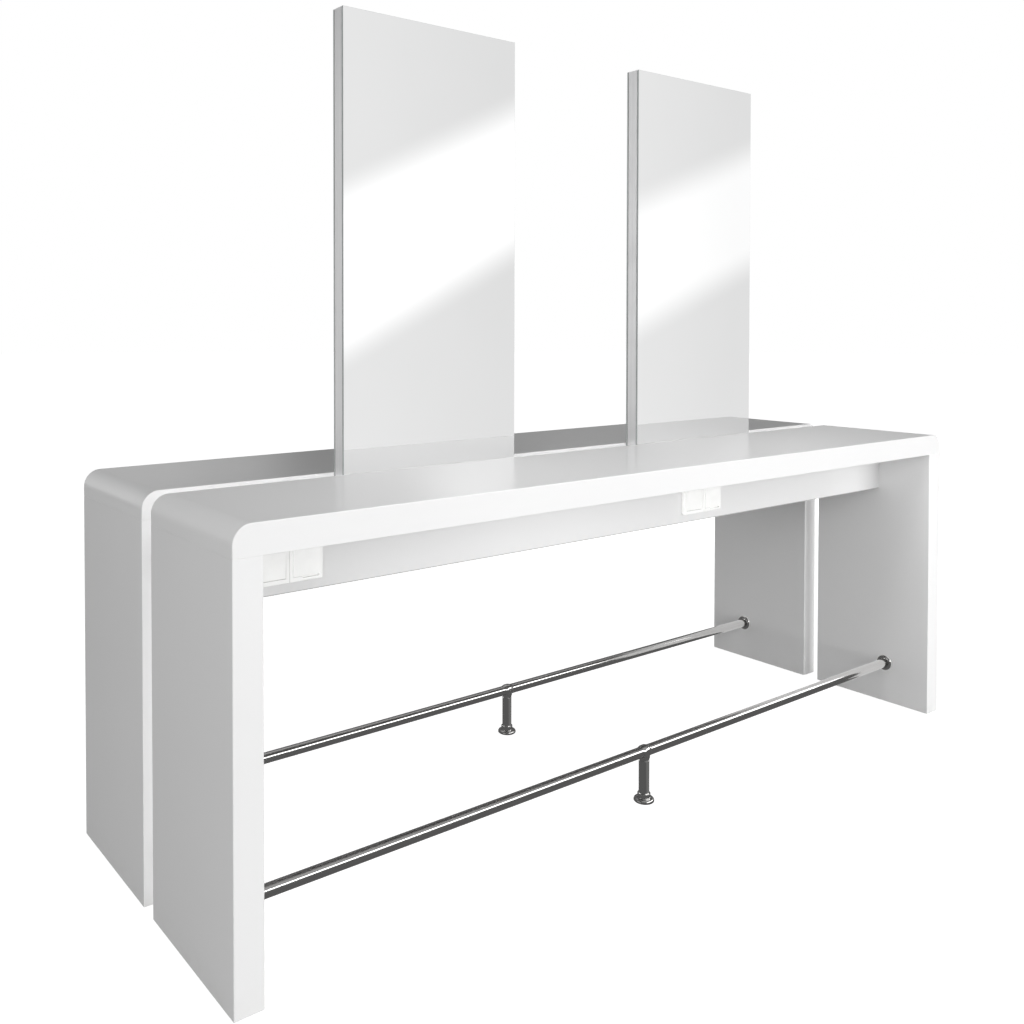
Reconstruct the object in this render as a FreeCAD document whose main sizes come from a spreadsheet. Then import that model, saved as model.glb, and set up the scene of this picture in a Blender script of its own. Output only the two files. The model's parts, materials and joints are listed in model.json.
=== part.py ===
import FreeCAD, Part
import math
import os
import Sketcher

# Double sided salon station.
# Frame: +X to the right along the station, +Y towards the rear seats, +Z up, origin on the
# floor at the centre of the footprint.  Two bench tables stand back to back with a gap
# between them, the rear one being the front one turned half a turn about Z.  Two double
# faced mirrors stand in the gap, and each side has a foot rail and two power points.

V = FreeCAD.Vector
doc = FreeCAD.newDocument("salon_station")

# ------------------------------------------------------------------ driving dimensions, mm
DIMS = [
    ("table_length", 2400), ("table_depth", 380), ("table_gap", 50), ("table_height", 870),
    ("slab_thick", 60), ("leg_thick", 60), ("corner_radius", 38), ("arris_radius", 2),
    ("seam_radius", 0.8), ("glide_height", 1.5), ("glide_radius", 15), ("glide_stem_radius", 4),
    ("glide_stem_length", 20), ("glide_inset", 60),
    ("apron_set", 166), ("apron_thick", 18), ("apron_height", 124.5), ("apron_arris", 1),
    ("back_rail_thick", 18), ("back_rail_height", 120),
    ("dowel_radius", 4), ("dowel_length", 35), ("dowel_clear", 0.05), ("dowel_inset", 50),
    ("dowel_pitch", 93), ("board_dowel_low", 30), ("board_dowel_pitch", 64),
    ("mirror_width", 517), ("mirror_top", 1940), ("mirror_core_thick", 32), ("mirror_trim_thick", 1.5),
    ("glass_thick", 5), ("glass_arris", 0.6), ("bond_thick", 1), ("bond_inset", 2),
    ("mirror_one_centre", -483.5), ("mirror_two_centre", 500),
    ("mirror_foot", 690), ("packer_width", 480), ("packer_foot", 700), ("glass_foot", 852),
    ("bolt_pitch_x", 320), ("bolt_low", 725), ("bolt_pitch_z", 60), ("bolt_radius", 4),
    ("bolt_clear", 0.2), ("bolt_head_af", 13), ("bolt_head", 5.5), ("nut_thick", 7),
    ("washer_radius", 8), ("washer_thick", 1.6), ("bolt_tail", 4),
    ("spacer_width", 60), ("spacer_height", 100), ("spacer_foot", 700), ("spacer_offset", 1000),
    ("rail_radius", 13.5), ("rail_wall", 1.5), ("rail_set", 137.5), ("rail_height", 127),
    ("plate_radius", 22), ("plate_thick", 5), ("plate_stub", 20), ("plate_stub_radius", 11.9),
    ("plate_screw_circle", 18.2), ("cover_radius", 25), ("cover_depth", 12), ("cover_round", 7.5),
    ("cover_cavity_radius", 22.4), ("cover_cavity_depth", 8.5), ("cover_clear", 0.1),
    ("tee_radius", 16.5), ("tee_length", 30), ("tee_neck", 21), ("tee_spigot", 22), ("tee_round", 1.2),
    ("foot_radius", 26), ("foot_base", 2.5), ("foot_dome", 6), ("foot_collar", 12), ("foot_pad", 1.5),
    ("foot_pad_radius", 24.5), ("foot_round", 5), ("grub_radius", 2.5), ("grub_length", 3.2),
    ("screw_radius", 2), ("screw_hole", 2.1), ("screw_length", 16), ("screw_head_radius", 3.8),
    ("screw_head", 2.4),
    ("bracket_leg", 40), ("bracket_thick", 3), ("bracket_width", 60), ("bracket_set", 205),
    ("tray_section", 720), ("tray_pitch", 730), ("tray_width", 60), ("tray_height", 22), ("tray_sheet", 1.5),
    ("tray_gap", 2.5), ("tray_screw_pitch", 480),
    ("box_length", 138), ("box_height", 66), ("box_depth", 45), ("box_wall", 2),
    ("plate_width", 150), ("plate_height", 80), ("plate_proud", 10.5), ("plate_corner", 2.5),
    ("plate_arris", 1), ("plate_recess", 2), ("window_width", 60), ("window_height", 62),
    ("seam_width", 1), ("seam_depth", 1.2), ("socket_height", 748),
    ("socket_one_x", 195), ("socket_two_x", 1451),
    ("flange_size", 70), ("insert_body", 52), ("insert_depth", 20), ("insert_face", 3.5),
    ("insert_clear", 0.3), ("recess_radius", 19.5), ("recess_depth", 17.5),
    ("contact_pitch", 19), ("contact_radius", 3.5), ("contact_bore", 2.5), ("contact_length", 18),
    ("lid_width", 59.4), ("lid_thick", 4), ("lid_pad", 2), ("lid_pad_drop", 4.2), ("lid_foot", 0.6),
    ("hinge_drop", 2.8), ("hinge_back", 8), ("pin_radius", 0.8), ("pin_clear", 0.06), ("pin_in", 4),
    ("notch_width", 9), ("notch_depth", 6.2), ("spring_radius", 1.8), ("spring_length", 7), ("spring_wire", 0.6),
    ("finger_width", 38), ("finger_height", 3), ("finger_depth", 5),
    ("rocker_width", 59.4), ("rocker_tall", 60.6), ("rocker_thick", 4), ("rocker_back", 3.9),
    ("rocker_pivot", 3), ("rocker_boss", 15), ("rocker_boss_tall", 8), ("trunnion_radius", 1.5),
    ("trunnion_length", 24), ("trunnion_clear", 0.06), ("rocker_tilt", 2.5), ("cheek_thick", 4),
    ("cheek_gap", 16.4), ("cheek_proud", 6), ("cheek_tall", 12), ("rocker_round", 0.8),
    ("junction_length", 95), ("junction_width", 70), ("junction_height", 38), ("junction_wall", 2),
    ("junction_foot", 713), ("junction_x", 1000), ("gland_af", 24), ("gland_hex", 6), ("gland_body_radius", 10.5),
    ("gland_body", 18), ("gland_bore", 5), ("gland_thread_radius", 8), ("gland_tail", 10), ("gland_nut", 5),
]
sheet = doc.addObject("Spreadsheet::Sheet", "dims")
D = {}
for row, (alias, value) in enumerate(DIMS, start=1):
    sheet.set("A%d" % row, alias)
    sheet.set("B%d" % row, str(value))
    sheet.setAlias("B%d" % row, alias)
    D[alias] = float(value)
doc.recompute()


def d(*names):
    """A sum of cells as an expression: d("a", "-b") is dims.a - dims.b."""
    out = ""
    for n in names:
        if n.startswith("-"):
            out += " - dims." + n[1:]
        else:
            out += (" + " if out else "") + "dims." + n
    return out.strip()


FRONT, REAR = 1, -1
HALF_TURN = FreeCAD.Rotation(V(0, 0, 1), 180)
written = []


# ------------------------------------------------------------------ helpers
def place(obj, side, x, y, z, rotation=None):
    """Puts obj at x, y, z of the front table's frame, or at the half turned point for the rear."""
    turn = FreeCAD.Rotation() if side == FRONT else HALF_TURN
    if rotation is not None:
        turn = turn.multiply(rotation)
    obj.Placement = FreeCAD.Placement(V(0, 0, 0), turn)
    sign = "" if side == FRONT else "-1 * "
    obj.setExpression("Placement.Base.x", "%s(%s)" % (sign, x))
    obj.setExpression("Placement.Base.y", "%s(%s)" % (sign, y))
    obj.setExpression("Placement.Base.z", z)
    return obj


def body(name, label=None):
    b = doc.addObject("PartDesign::Body", name)
    b.Label = label or name
    return b


def sketch(b, name, role, offset=None):
    sk = b.newObject("Sketcher::SketchObject", name)
    plane = [o for o in b.Origin.OriginFeatures if o.Role == role][0]
    sk.AttachmentSupport = [(plane, "")]
    sk.MapMode = "FlatFace"
    if offset is not None:
        sk.setExpression(".AttachmentOffset.Base.z", offset)
    return sk


def polygon(sk, points):
    """A closed outline whose every vertex is fixed by two expressions."""
    first, n = sk.GeometryCount, len(points)
    for i in range(n):
        a, b = i, (i + 1) % n
        sk.addGeometry(Part.LineSegment(V(a, a * a, 0), V(b, b * b, 0)), False)
    for i in range(n):
        sk.addConstraint(Sketcher.Constraint("Coincident", first + i, 2, first + (i + 1) % n, 1))
    for i, (x, y) in enumerate(points):
        for kind, expression, axis in (("DistanceX", x, -2), ("DistanceY", y, -1)):
            if expression == "0":
                sk.addConstraint(Sketcher.Constraint("PointOnObject", first + i, 1, axis))
            else:
                c = sk.addConstraint(Sketcher.Constraint(kind, -1, 1, first + i, 1, float(i + 1)))
                sk.setExpression("Constraints[%d]" % c, expression)


def rectangle(sk, x0, y0, x1, y1):
    polygon(sk, [(x0, y0), (x1, y0), (x1, y1), (x0, y1)])


def circle(sk, x, y, r):
    i = sk.addGeometry(Part.Circle(V(1, 1, 0), V(0, 0, 1), 1), False)
    for kind, expression, axis in (("DistanceX", x, -2), ("DistanceY", y, -1)):
        if expression == "0":
            sk.addConstraint(Sketcher.Constraint("PointOnObject", i, 3, axis))
        else:
            c = sk.addConstraint(Sketcher.Constraint(kind, -1, 1, i, 3, 1.0))
            sk.setExpression("Constraints[%d]" % c, expression)
    c = sk.addConstraint(Sketcher.Constraint("Radius", i, 1.0))
    sk.setExpression("Constraints[%d]" % c, r)


def pad(b, name, sk, length, reverse=False):
    f = b.newObject("PartDesign::Pad", name)
    f.Profile = sk
    f.Reversed = reverse
    f.setExpression("Length", length)
    sk.Visibility = False
    doc.recompute()
    return f


def pocket(b, name, sk, length, reverse=False):
    before = b.Tip.Shape.Volume
    f = b.newObject("PartDesign::Pocket", name)
    f.Profile = sk
    f.Reversed = reverse
    f.setExpression("Length", length)
    doc.recompute()
    if not f.Shape.Volume < before - 1e-6:
        raise RuntimeError("pocket %s cuts nothing" % name)
    return f


def revolve(b, name, sk, axis="V_Axis"):
    f = b.newObject("PartDesign::Revolution", name)
    f.Profile = sk
    f.ReferenceAxis = (sk, [axis])
    f.Angle = 360
    doc.recompute()
    return f


def edges_of(feature, test):
    """Names of the straight or curved edges of a feature for which test(low, high) holds,
    low and high being the corners of the edge's own box."""
    out = []
    for i, e in enumerate(feature.Shape.Edges, start=1):
        bb = e.BoundBox
        if test(V(bb.XMin, bb.YMin, bb.ZMin), V(bb.XMax, bb.YMax, bb.ZMax)):
            out.append("Edge%d" % i)
    return out


def fillet(b, name, feature, radius, test):
    names = edges_of(feature, test)
    if not names:
        raise RuntimeError("no edges for %s" % name)
    f = b.newObject("PartDesign::Fillet", name)
    f.Base = (feature, names)
    f.setExpression("Radius", radius)
    doc.recompute()
    return f


def near(a, b, tol=0.02):
    return abs(a - b) < tol


def prim(kind, name, **sizes):
    o = doc.addObject(kind, name)
    for key, expression in sizes.items():
        if isinstance(expression, str):
            o.setExpression(key, expression)
        else:
            setattr(o, key, expression)
    return o


def cyl(name, r, length, x="0", y="0", z="0", axis="Z"):
    """A cylinder from x, y, z along +X, +Y or +Z."""
    o = prim("Part::Cylinder", name, Radius=r, Height=length)
    turn = {"Z": FreeCAD.Rotation(), "X": FreeCAD.Rotation(V(0, 1, 0), 90), "Y": FreeCAD.Rotation(V(1, 0, 0), -90)}[axis]
    o.Placement = FreeCAD.Placement(V(0, 0, 0), turn)
    for key, e in (("x", x), ("y", y), ("z", z)):
        if e != "0":
            o.setExpression("Placement.Base." + key, e)
    return o


def box(name, lx, ly, lz, x="0", y="0", z="0"):
    o = prim("Part::Box", name, Length=lx, Width=ly, Height=lz)
    for key, e in (("x", x), ("y", y), ("z", z)):
        if e != "0":
            o.setExpression("Placement.Base." + key, e)
    return o


def fuse(name, *objs):
    o = doc.addObject("Part::MultiFuse", name)
    o.Shapes = list(objs)
    o.Refine = True
    return o


def cut(name, base, *tools):
    tool = tools[0] if len(tools) == 1 else fuse(name + "_tools", *tools)
    o = doc.addObject("Part::Cut", name)
    o.Base = base
    o.Tool = tool
    return o


def link(name, master):
    o = doc.addObject("App::Link", name)
    o.LinkedObject = master
    o.LinkTransform = False
    return o


def group(name, members):
    """Equal pieces that share one node, as separate solids."""
    o = doc.addObject("Part::Compound", name)
    o.Label = name
    o.Links = members
    return keep(o)


def keep(obj, label=None):
    if label:
        obj.Label = label
    written.append(obj)
    return obj


LEFT_X = "-1 * dims.table_length / 2"            # outer face of the left legs
FRONT_Y = "-1 * dims.table_gap / 2 - dims.table_depth"   # front edge of the front table
LEG_TALL = "dims.table_height - dims.slab_thick - dims.glide_height"
APRON_Z = "dims.table_height - dims.slab_thick - dims.apron_height"
RAIL_Z = "dims.table_height - dims.slab_thick - dims.back_rail_height"
APRON_Y = FRONT_Y + " + dims.apron_set"

# ------------------------------------------------------------------ table tops
# A thick slab, its two outer top corners rounded, its edges broken by a small arris.  Its
# underside has the dowel bores of the legs and the pilot bores of the brackets.
DOWEL_Y = ["dims.dowel_inset + %d * dims.dowel_pitch" % i for i in range(4)]


def table_top(side, name):
    b = body(name)
    sk = sketch(b, name + "_outline", "XZ_Plane")
    rectangle(sk, "0", "0", "dims.table_length", "dims.slab_thick")
    f = pad(b, name + "_slab", sk, "dims.table_depth", reverse=True)
    L, T, W = D["table_length"], D["slab_thick"], D["table_depth"]
    f = fillet(b, name + "_corners", f, "dims.corner_radius",
               lambda a, c: near(a.z, T) and near(c.z, T) and near(a.x, c.x))
    f = fillet(b, name + "_arris", f, "dims.arris_radius",
               lambda a, c: near(a.y, c.y) and (near(a.y, 0) or near(a.y, W)) and c.z > 1)
    f = fillet(b, name + "_seam", f, "dims.seam_radius",
               lambda a, c: near(a.z, 0) and near(c.z, 0))
    sk = sketch(b, name + "_dowel_points", "XY_Plane")
    for x in ("dims.leg_thick / 2", "dims.table_length - dims.leg_thick / 2"):
        for y in DOWEL_Y:
            circle(sk, x, y, "dims.dowel_radius + dims.dowel_clear")
    f = pocket(b, name + "_dowel_bores", sk, "dims.dowel_length / 2", reverse=True)
    sk = sketch(b, name + "_screw_points", "XY_Plane")
    for x in ("dims.leg_thick + dims.bracket_leg * 0.6", "dims.table_length - dims.leg_thick - dims.bracket_leg * 0.6"):
        for k in (0.25, 0.75):
            circle(sk, x, "dims.bracket_set + dims.bracket_width * %g" % k, "dims.screw_hole")
    f = pocket(b, name + "_screw_bores", sk, "dims.screw_length - dims.bracket_thick", reverse=True)
    place(b, side, LEFT_X, FRONT_Y, "dims.table_height - dims.slab_thick")
    return keep(b)


# ------------------------------------------------------------------ legs
# Full depth panels under the slab's ends.  hand is +1 where the inner face looks along +X in
# the front table's frame (its left leg) and -1 for its right leg.
APRON_DOWEL_Y = "dims.apron_set + dims.apron_thick / 2"
BACK_DOWEL_Y = "dims.table_depth - dims.back_rail_thick / 2"


def leg(side, name, hand):
    b = body(name)
    sk = sketch(b, name + "_outline", "XY_Plane")
    rectangle(sk, "0", "0", "dims.leg_thick", "dims.table_depth")
    f = pad(b, name + "_panel", sk, LEG_TALL)
    top = D["table_height"] - D["slab_thick"] - D["glide_height"]
    f = fillet(b, name + "_arris", f, "dims.arris_radius", lambda a, c: c.z - a.z > 10)
    f = fillet(b, name + "_seam", f, "dims.seam_radius",
               lambda a, c: near(a.z, c.z) and (near(a.z, top) or near(a.z, 0)))
    # dowel bores in the top edge, and the stem bores of the glides in the foot
    sk = sketch(b, name + "_dowel_points", "XY_Plane", LEG_TALL)
    for y in DOWEL_Y:
        circle(sk, "dims.leg_thick / 2", y, "dims.dowel_radius + dims.dowel_clear")
    f = pocket(b, name + "_dowel_bores", sk, "dims.dowel_length / 2")
    sk = sketch(b, name + "_glide_points", "XY_Plane")
    for y in ("dims.glide_inset", "dims.table_depth - dims.glide_inset"):
        circle(sk, "dims.leg_thick / 2", y, "dims.glide_stem_radius + dims.dowel_clear")
    f = pocket(b, name + "_glide_bores", sk, "dims.glide_stem_length", reverse=True)
    # inner face: dowel bores of the apron and the back rail, pilot bores of the plate and bracket
    inner = "dims.leg_thick" if hand > 0 else "0"
    sk = sketch(b, name + "_board_points", "YZ_Plane", inner)
    for y, z0 in ((APRON_DOWEL_Y, APRON_Z), (BACK_DOWEL_Y, RAIL_Z)):
        for k in (0, 1):
            circle(sk, y, "%s - dims.glide_height + dims.board_dowel_low + %d * dims.board_dowel_pitch" % (z0, k),
                   "dims.dowel_radius + dims.dowel_clear")
    f = pocket(b, name + "_board_bores", sk, "dims.dowel_length / 2", reverse=hand < 0)
    sk = sketch(b, name + "_screw_points", "YZ_Plane", inner)
    for i in range(3):
        c, s = math.cos(math.radians(90 + 120 * i)), math.sin(math.radians(90 + 120 * i))
        circle(sk, "dims.rail_set + %.9f * dims.plate_screw_circle" % c,
               "dims.rail_height - dims.glide_height + %.9f * dims.plate_screw_circle" % s, "dims.screw_hole")
    for k in (0.25, 0.75):
        circle(sk, "dims.bracket_set + dims.bracket_width * %g" % k, LEG_TALL + " - dims.bracket_leg * 0.6", "dims.screw_hole")
    f = pocket(b, name + "_screw_bores", sk, "dims.screw_length - dims.bracket_thick", reverse=hand < 0)
    x = LEFT_X if hand > 0 else "dims.table_length / 2 - dims.leg_thick"
    place(b, side, x, FRONT_Y, "dims.glide_height")
    return keep(b)


# ------------------------------------------------------------------ apron and back rail
INNER = "dims.table_length - 2 * dims.leg_thick"
TRAY_SCREWS = ["%d * dims.tray_pitch + %g * dims.tray_screw_pitch" % (i, k) for i in (-1, 0, 1) for k in (-0.5, 0.5)]


def apron(side, name):
    """The board under the slab that carries the power points, cut out for their boxes."""
    b = body(name)
    sk = sketch(b, name + "_outline", "XZ_Plane")
    rectangle(sk, "0", "0", INNER, "dims.apron_height")
    f = pad(b, name + "_board", sk, "dims.apron_thick", reverse=True)
    f = fillet(b, name + "_arris", f, "dims.apron_arris",
               lambda a, c: near(a.z, 0) and near(c.z, 0) and near(a.y, c.y))
    sk = sketch(b, name + "_window_lines", "XZ_Plane")
    for centre in ("dims.socket_one_x", "dims.socket_two_x"):
        x0 = "%s - dims.leg_thick - dims.box_length / 2" % centre
        z0 = "dims.socket_height - dims.box_height / 2 - (%s)" % APRON_Z
        rectangle(sk, x0, z0, x0 + " + dims.box_length", z0 + " + dims.box_height")
    f = pocket(b, name + "_windows", sk, "dims.apron_thick", reverse=False)
    for hand in (1, -1):
        sk = sketch(b, name + "_end_points_%d" % (hand > 0), "YZ_Plane", "0" if hand > 0 else INNER)
        for k in (0, 1):
            circle(sk, "dims.apron_thick / 2", "dims.board_dowel_low + %d * dims.board_dowel_pitch" % k,
                   "dims.dowel_radius + dims.dowel_clear")
        f = pocket(b, name + "_end_bores_%d" % (hand > 0), sk, "dims.dowel_length / 2", reverse=hand > 0)
    sk = sketch(b, name + "_tray_points", "XZ_Plane", "-1 * dims.apron_thick")
    for x in TRAY_SCREWS:
        circle(sk, "(%s) / 2 + %s" % (INNER, x), "dims.tray_gap + dims.tray_height * 0.6", "dims.screw_hole")
    f = pocket(b, name + "_tray_bores", sk, "dims.screw_length - dims.tray_sheet", reverse=True)
    place(b, side, LEFT_X + " + dims.leg_thick", APRON_Y, APRON_Z)
    return keep(b)


# bolt centres in X and Z, in the front table's frame
BOLTS = []
for centre in ("dims.mirror_one_centre", "dims.mirror_two_centre"):
    for kx in (-0.5, 0.5):
        for kz in (0, 1):
            BOLTS.append(("%s + %g * dims.bolt_pitch_x" % (centre, kx), "dims.bolt_low + %d * dims.bolt_pitch_z" % kz))
SPACERS = ["-1 * dims.spacer_offset", "(dims.mirror_one_centre + dims.mirror_two_centre) / 2", "dims.spacer_offset"]
for centre in SPACERS:
    for kz in (0, 1):
        BOLTS.append((centre, "dims.bolt_low + %d * dims.bolt_pitch_z" % kz))
BACK_Y = "-1 * dims.table_gap / 2 - dims.back_rail_thick"
JUNCTION_SCREWS = (0.25, 0.8)


def back_rail(side, name):
    b = body(name)
    sk = sketch(b, name + "_outline", "XZ_Plane")
    rectangle(sk, "0", "0", INNER, "dims.back_rail_height")
    f = pad(b, name + "_board", sk, "dims.back_rail_thick", reverse=True)
    sk = sketch(b, name + "_bolt_points", "XZ_Plane")
    for x, z in BOLTS:
        circle(sk, "(%s) / 2 %s (%s)" % (INNER, "+" if side == FRONT else "-", x), "%s - (%s)" % (z, RAIL_Z),
               "dims.bolt_radius + dims.bolt_clear")
    f = pocket(b, name + "_bolt_bores", sk, "dims.back_rail_thick")
    sk = sketch(b, name + "_box_points", "XZ_Plane")
    for k in JUNCTION_SCREWS:
        circle(sk, "dims.junction_x - dims.leg_thick + dims.junction_width / 2",
               "dims.junction_foot + dims.junction_length * %g - (%s)" % (k, RAIL_Z), "dims.screw_hole")
    f = pocket(b, name + "_box_bores", sk, "dims.screw_length - dims.junction_wall")
    for hand in (1, -1):
        sk = sketch(b, name + "_end_points_%d" % (hand > 0), "YZ_Plane", "0" if hand > 0 else INNER)
        for k in (0, 1):
            circle(sk, "dims.back_rail_thick / 2", "dims.board_dowel_low + %d * dims.board_dowel_pitch" % k,
                   "dims.dowel_radius + dims.dowel_clear")
        f = pocket(b, name + "_end_bores_%d" % (hand > 0), sk, "dims.dowel_length / 2", reverse=hand > 0)
    place(b, side, LEFT_X + " + dims.leg_thick", BACK_Y, RAIL_Z)
    return keep(b)


table_top(FRONT, "front_top")
table_top(REAR, "rear_top")
leg(FRONT, "front_left_leg", 1)
leg(FRONT, "front_right_leg", -1)
leg(REAR, "rear_right_leg", 1)
leg(REAR, "rear_left_leg", -1)
apron(FRONT, "front_apron")
apron(REAR, "rear_apron")
back_rail(FRONT, "front_back_rail")
back_rail(REAR, "rear_back_rail")

# ------------------------------------------------------------------ dowels and glides
# The masters lie at the origin and aren't pieces of their own: the nodes hold placed links.
dowel_master = cyl("dowel_master", "dims.dowel_radius", "dims.dowel_length")
glide_master = fuse("glide_master",
                    cyl("glide_disc", "dims.glide_radius", "dims.glide_height"),
                    cyl("glide_stem", "dims.glide_stem_radius", "dims.glide_stem_length + dims.glide_height"))
ALONG_X = FreeCAD.Rotation(V(0, 1, 0), 90)
AGAINST_X = FreeCAD.Rotation(V(0, 1, 0), -90)
ALONG_Y = FreeCAD.Rotation(V(1, 0, 0), -90)
AGAINST_Y = FreeCAD.Rotation(V(1, 0, 0), 90)
UPSIDE_DOWN = FreeCAD.Rotation(V(1, 0, 0), 180)
dowels, glides = [], []
for side, tag in ((FRONT, "f"), (REAR, "r")):
    for hand in (1, -1):
        cx = "%s dims.table_length / 2 %s dims.leg_thick / 2" % (("-1 *", "+") if hand > 0 else ("", "-"))
        for i, y in enumerate(DOWEL_Y):
            o = link("dowel_leg_%s%d%d" % (tag, hand > 0, i), dowel_master)
            dowels.append(place(o, side, cx, FRONT_Y + " + " + y,
                                "dims.table_height - dims.slab_thick - dims.dowel_length / 2"))
        for i, y in enumerate(("dims.glide_inset", "dims.table_depth - dims.glide_inset")):
            o = link("glide_%s%d%d" % (tag, hand > 0, i), glide_master)
            glides.append(place(o, side, cx, FRONT_Y + " + " + y, "0"))
        for j, (y, z0) in enumerate(((APRON_DOWEL_Y, APRON_Z), (BACK_DOWEL_Y, RAIL_Z))):
            for k in (0, 1):
                o = link("dowel_board_%s%d%d%d" % (tag, hand > 0, j, k), dowel_master)
                bx = "%s(dims.table_length / 2 - dims.leg_thick) - dims.dowel_length / 2" % ("-1 * " if hand > 0 else "")
                dowels.append(place(o, side, bx, FRONT_Y + " + " + y,
                                    "%s + dims.board_dowel_low + %d * dims.board_dowel_pitch" % (z0, k), ALONG_X))
group("dowels", dowels)
group("leg_glides", glides)

# ------------------------------------------------------------------ mirrors
CORE_TALL = "dims.mirror_top - dims.mirror_trim_thick - dims.mirror_foot"
CORE_WIDE = "dims.mirror_width - 2 * dims.mirror_trim_thick"
bonds, packers = [], []


def mirror(name, centre, bolts):
    core = body(name + "_core")
    sk = sketch(core, name + "_core_outline", "XZ_Plane")
    rectangle(sk, "0", "0", CORE_WIDE, CORE_TALL)
    pad(core, name + "_core_board", sk, "dims.mirror_core_thick", reverse=True)
    sk = sketch(core, name + "_core_points", "XZ_Plane")
    for x, z in bolts:
        circle(sk, "(%s) / 2 + (%s) - (%s)" % (CORE_WIDE, x, centre), "%s - dims.mirror_foot" % z,
               "dims.bolt_radius + dims.bolt_clear")
    pocket(core, name + "_core_bores", sk, "dims.mirror_core_thick")
    place(core, FRONT, "%s - (%s) / 2" % (centre, CORE_WIDE), "-1 * dims.mirror_core_thick / 2", "dims.mirror_foot")
    keep(core)
    # aluminium edging folded over both sides and the top of the core
    trim = body(name + "_edge_trim")
    sk = sketch(trim, name + "_trim_outline", "XZ_Plane")
    t, w, h = "dims.mirror_trim_thick", "dims.mirror_width", "dims.mirror_top - dims.mirror_foot"
    polygon(sk, [("0", "0"), (t, "0"), (t, "%s - %s" % (h, t)), ("%s - %s" % (w, t), "%s - %s" % (h, t)),
                 ("%s - %s" % (w, t), "0"), (w, "0"), (w, h), ("0", h)])
    f = pad(trim, name + "_trim_strip", sk, "dims.mirror_core_thick", reverse=True)
    place(trim, FRONT, "%s - dims.mirror_width / 2" % centre, "-1 * dims.mirror_core_thick / 2", "dims.mirror_foot")
    keep(trim)
    tall = D["mirror_top"] - D["glass_foot"]
    for side, word in ((FRONT, "front"), (REAR, "rear")):
        glass = body("%s_%s_glass" % (name, word))
        sk = sketch(glass, "%s_%s_glass_outline" % (name, word), "XZ_Plane")
        rectangle(sk, "0", "0", "dims.mirror_width", "dims.mirror_top - dims.glass_foot")
        f = pad(glass, "%s_%s_glass_pane" % (name, word), sk, "dims.glass_thick", reverse=True)
        f = fillet(glass, "%s_%s_glass_arris" % (name, word), f, "dims.glass_arris",
                   lambda a, c: near(a.y, 0) and near(c.y, 0))
        x = "%s(%s) - dims.mirror_width / 2" % ("" if side == FRONT else "-1 * ", centre)
        place(glass, side, x, "-1 * dims.mirror_core_thick / 2 - dims.bond_thick - dims.glass_thick", "dims.glass_foot")
        keep(glass)
        o = box("%s_%s_bond" % (name, word), "dims.mirror_width - 2 * dims.bond_inset", "dims.bond_thick",
                "dims.mirror_top - dims.glass_foot - 2 * dims.bond_inset")
        y = "-1 * dims.mirror_core_thick / 2 - dims.bond_thick" if side == FRONT else "dims.mirror_core_thick / 2"
        place(o, FRONT, "%s - dims.mirror_width / 2 + dims.bond_inset" % centre, y, "dims.glass_foot + dims.bond_inset")
        bonds.append(o)
        pack_thick = "(dims.table_gap - dims.mirror_core_thick) / 2"
        slab = box("%s_%s_packer_blank" % (name, word), "dims.packer_width", pack_thick, "dims.glass_foot - dims.packer_foot")
        tools = []
        for i, (bx, bz) in enumerate(bolts):
            tools.append(cyl("%s_%s_packer_tool%d" % (name, word, i), "dims.bolt_radius + dims.bolt_clear", pack_thick,
                             "(%s) - (%s) + dims.packer_width / 2" % (bx, centre), "0", "%s - dims.packer_foot" % bz, "Y"))
        p = cut("%s_%s_packer" % (name, word), slab, *tools)
        y = "-1 * dims.table_gap / 2" if side == FRONT else "dims.mirror_core_thick / 2"
        place(p, FRONT, "%s - dims.packer_width / 2" % centre, y, "dims.packer_foot")
        packers.append(p)


mirror("left_mirror", "dims.mirror_one_centre", BOLTS[0:4])
mirror("right_mirror", "dims.mirror_two_centre", BOLTS[4:8])
group("mirror_bond_sheets", bonds)
group("mirror_packers", packers)

spacers = []
for i, centre in enumerate(SPACERS):
    blank = box("spacer_blank%d" % i, "dims.spacer_width", "dims.table_gap", "dims.spacer_height")
    tools = [cyl("spacer_tool%d%d" % (i, k), "dims.bolt_radius + dims.bolt_clear", "dims.table_gap", "dims.spacer_width / 2",
                 "0", "dims.bolt_low - dims.spacer_foot + %d * dims.bolt_pitch_z" % k, "Y") for k in (0, 1)]
    p = cut("spacer_block%d" % i, blank, *tools)
    spacers.append(place(p, FRONT, "%s - dims.spacer_width / 2" % centre, "-1 * dims.table_gap / 2", "dims.spacer_foot"))
group("gap_spacers", spacers)

# hexagon bolts with washers, their heads in front and their nuts behind
STACK = "dims.table_gap + 2 * dims.back_rail_thick"
bolt_master = fuse(
    "bolt_master",
    cyl("bolt_shank", "dims.bolt_radius", STACK + " + dims.washer_thick * 2 + dims.nut_thick + dims.bolt_tail"),
    prim("Part::Prism", "bolt_hex", Polygon=6, Circumradius="dims.bolt_head_af / 1.7320508", Height="dims.bolt_head"))
doc.getObject("bolt_hex").setExpression("Placement.Base.z", "-1 * dims.bolt_head")
washer_master = cut("washer_master", cyl("washer_disc", "dims.washer_radius", "dims.washer_thick"),
                    cyl("washer_hole", "dims.bolt_radius + dims.bolt_clear", "dims.washer_thick"))
nut_blank = prim("Part::Prism", "nut_blank", Polygon=6, Circumradius="dims.bolt_head_af / 1.7320508", Height="dims.nut_thick")
nut_master = cut("nut_master", nut_blank, cyl("nut_hole", "dims.bolt_radius + 0.05", "dims.nut_thick"))
bolts, nuts = [], []
FACE = "dims.table_gap / 2 + dims.back_rail_thick"
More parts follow.
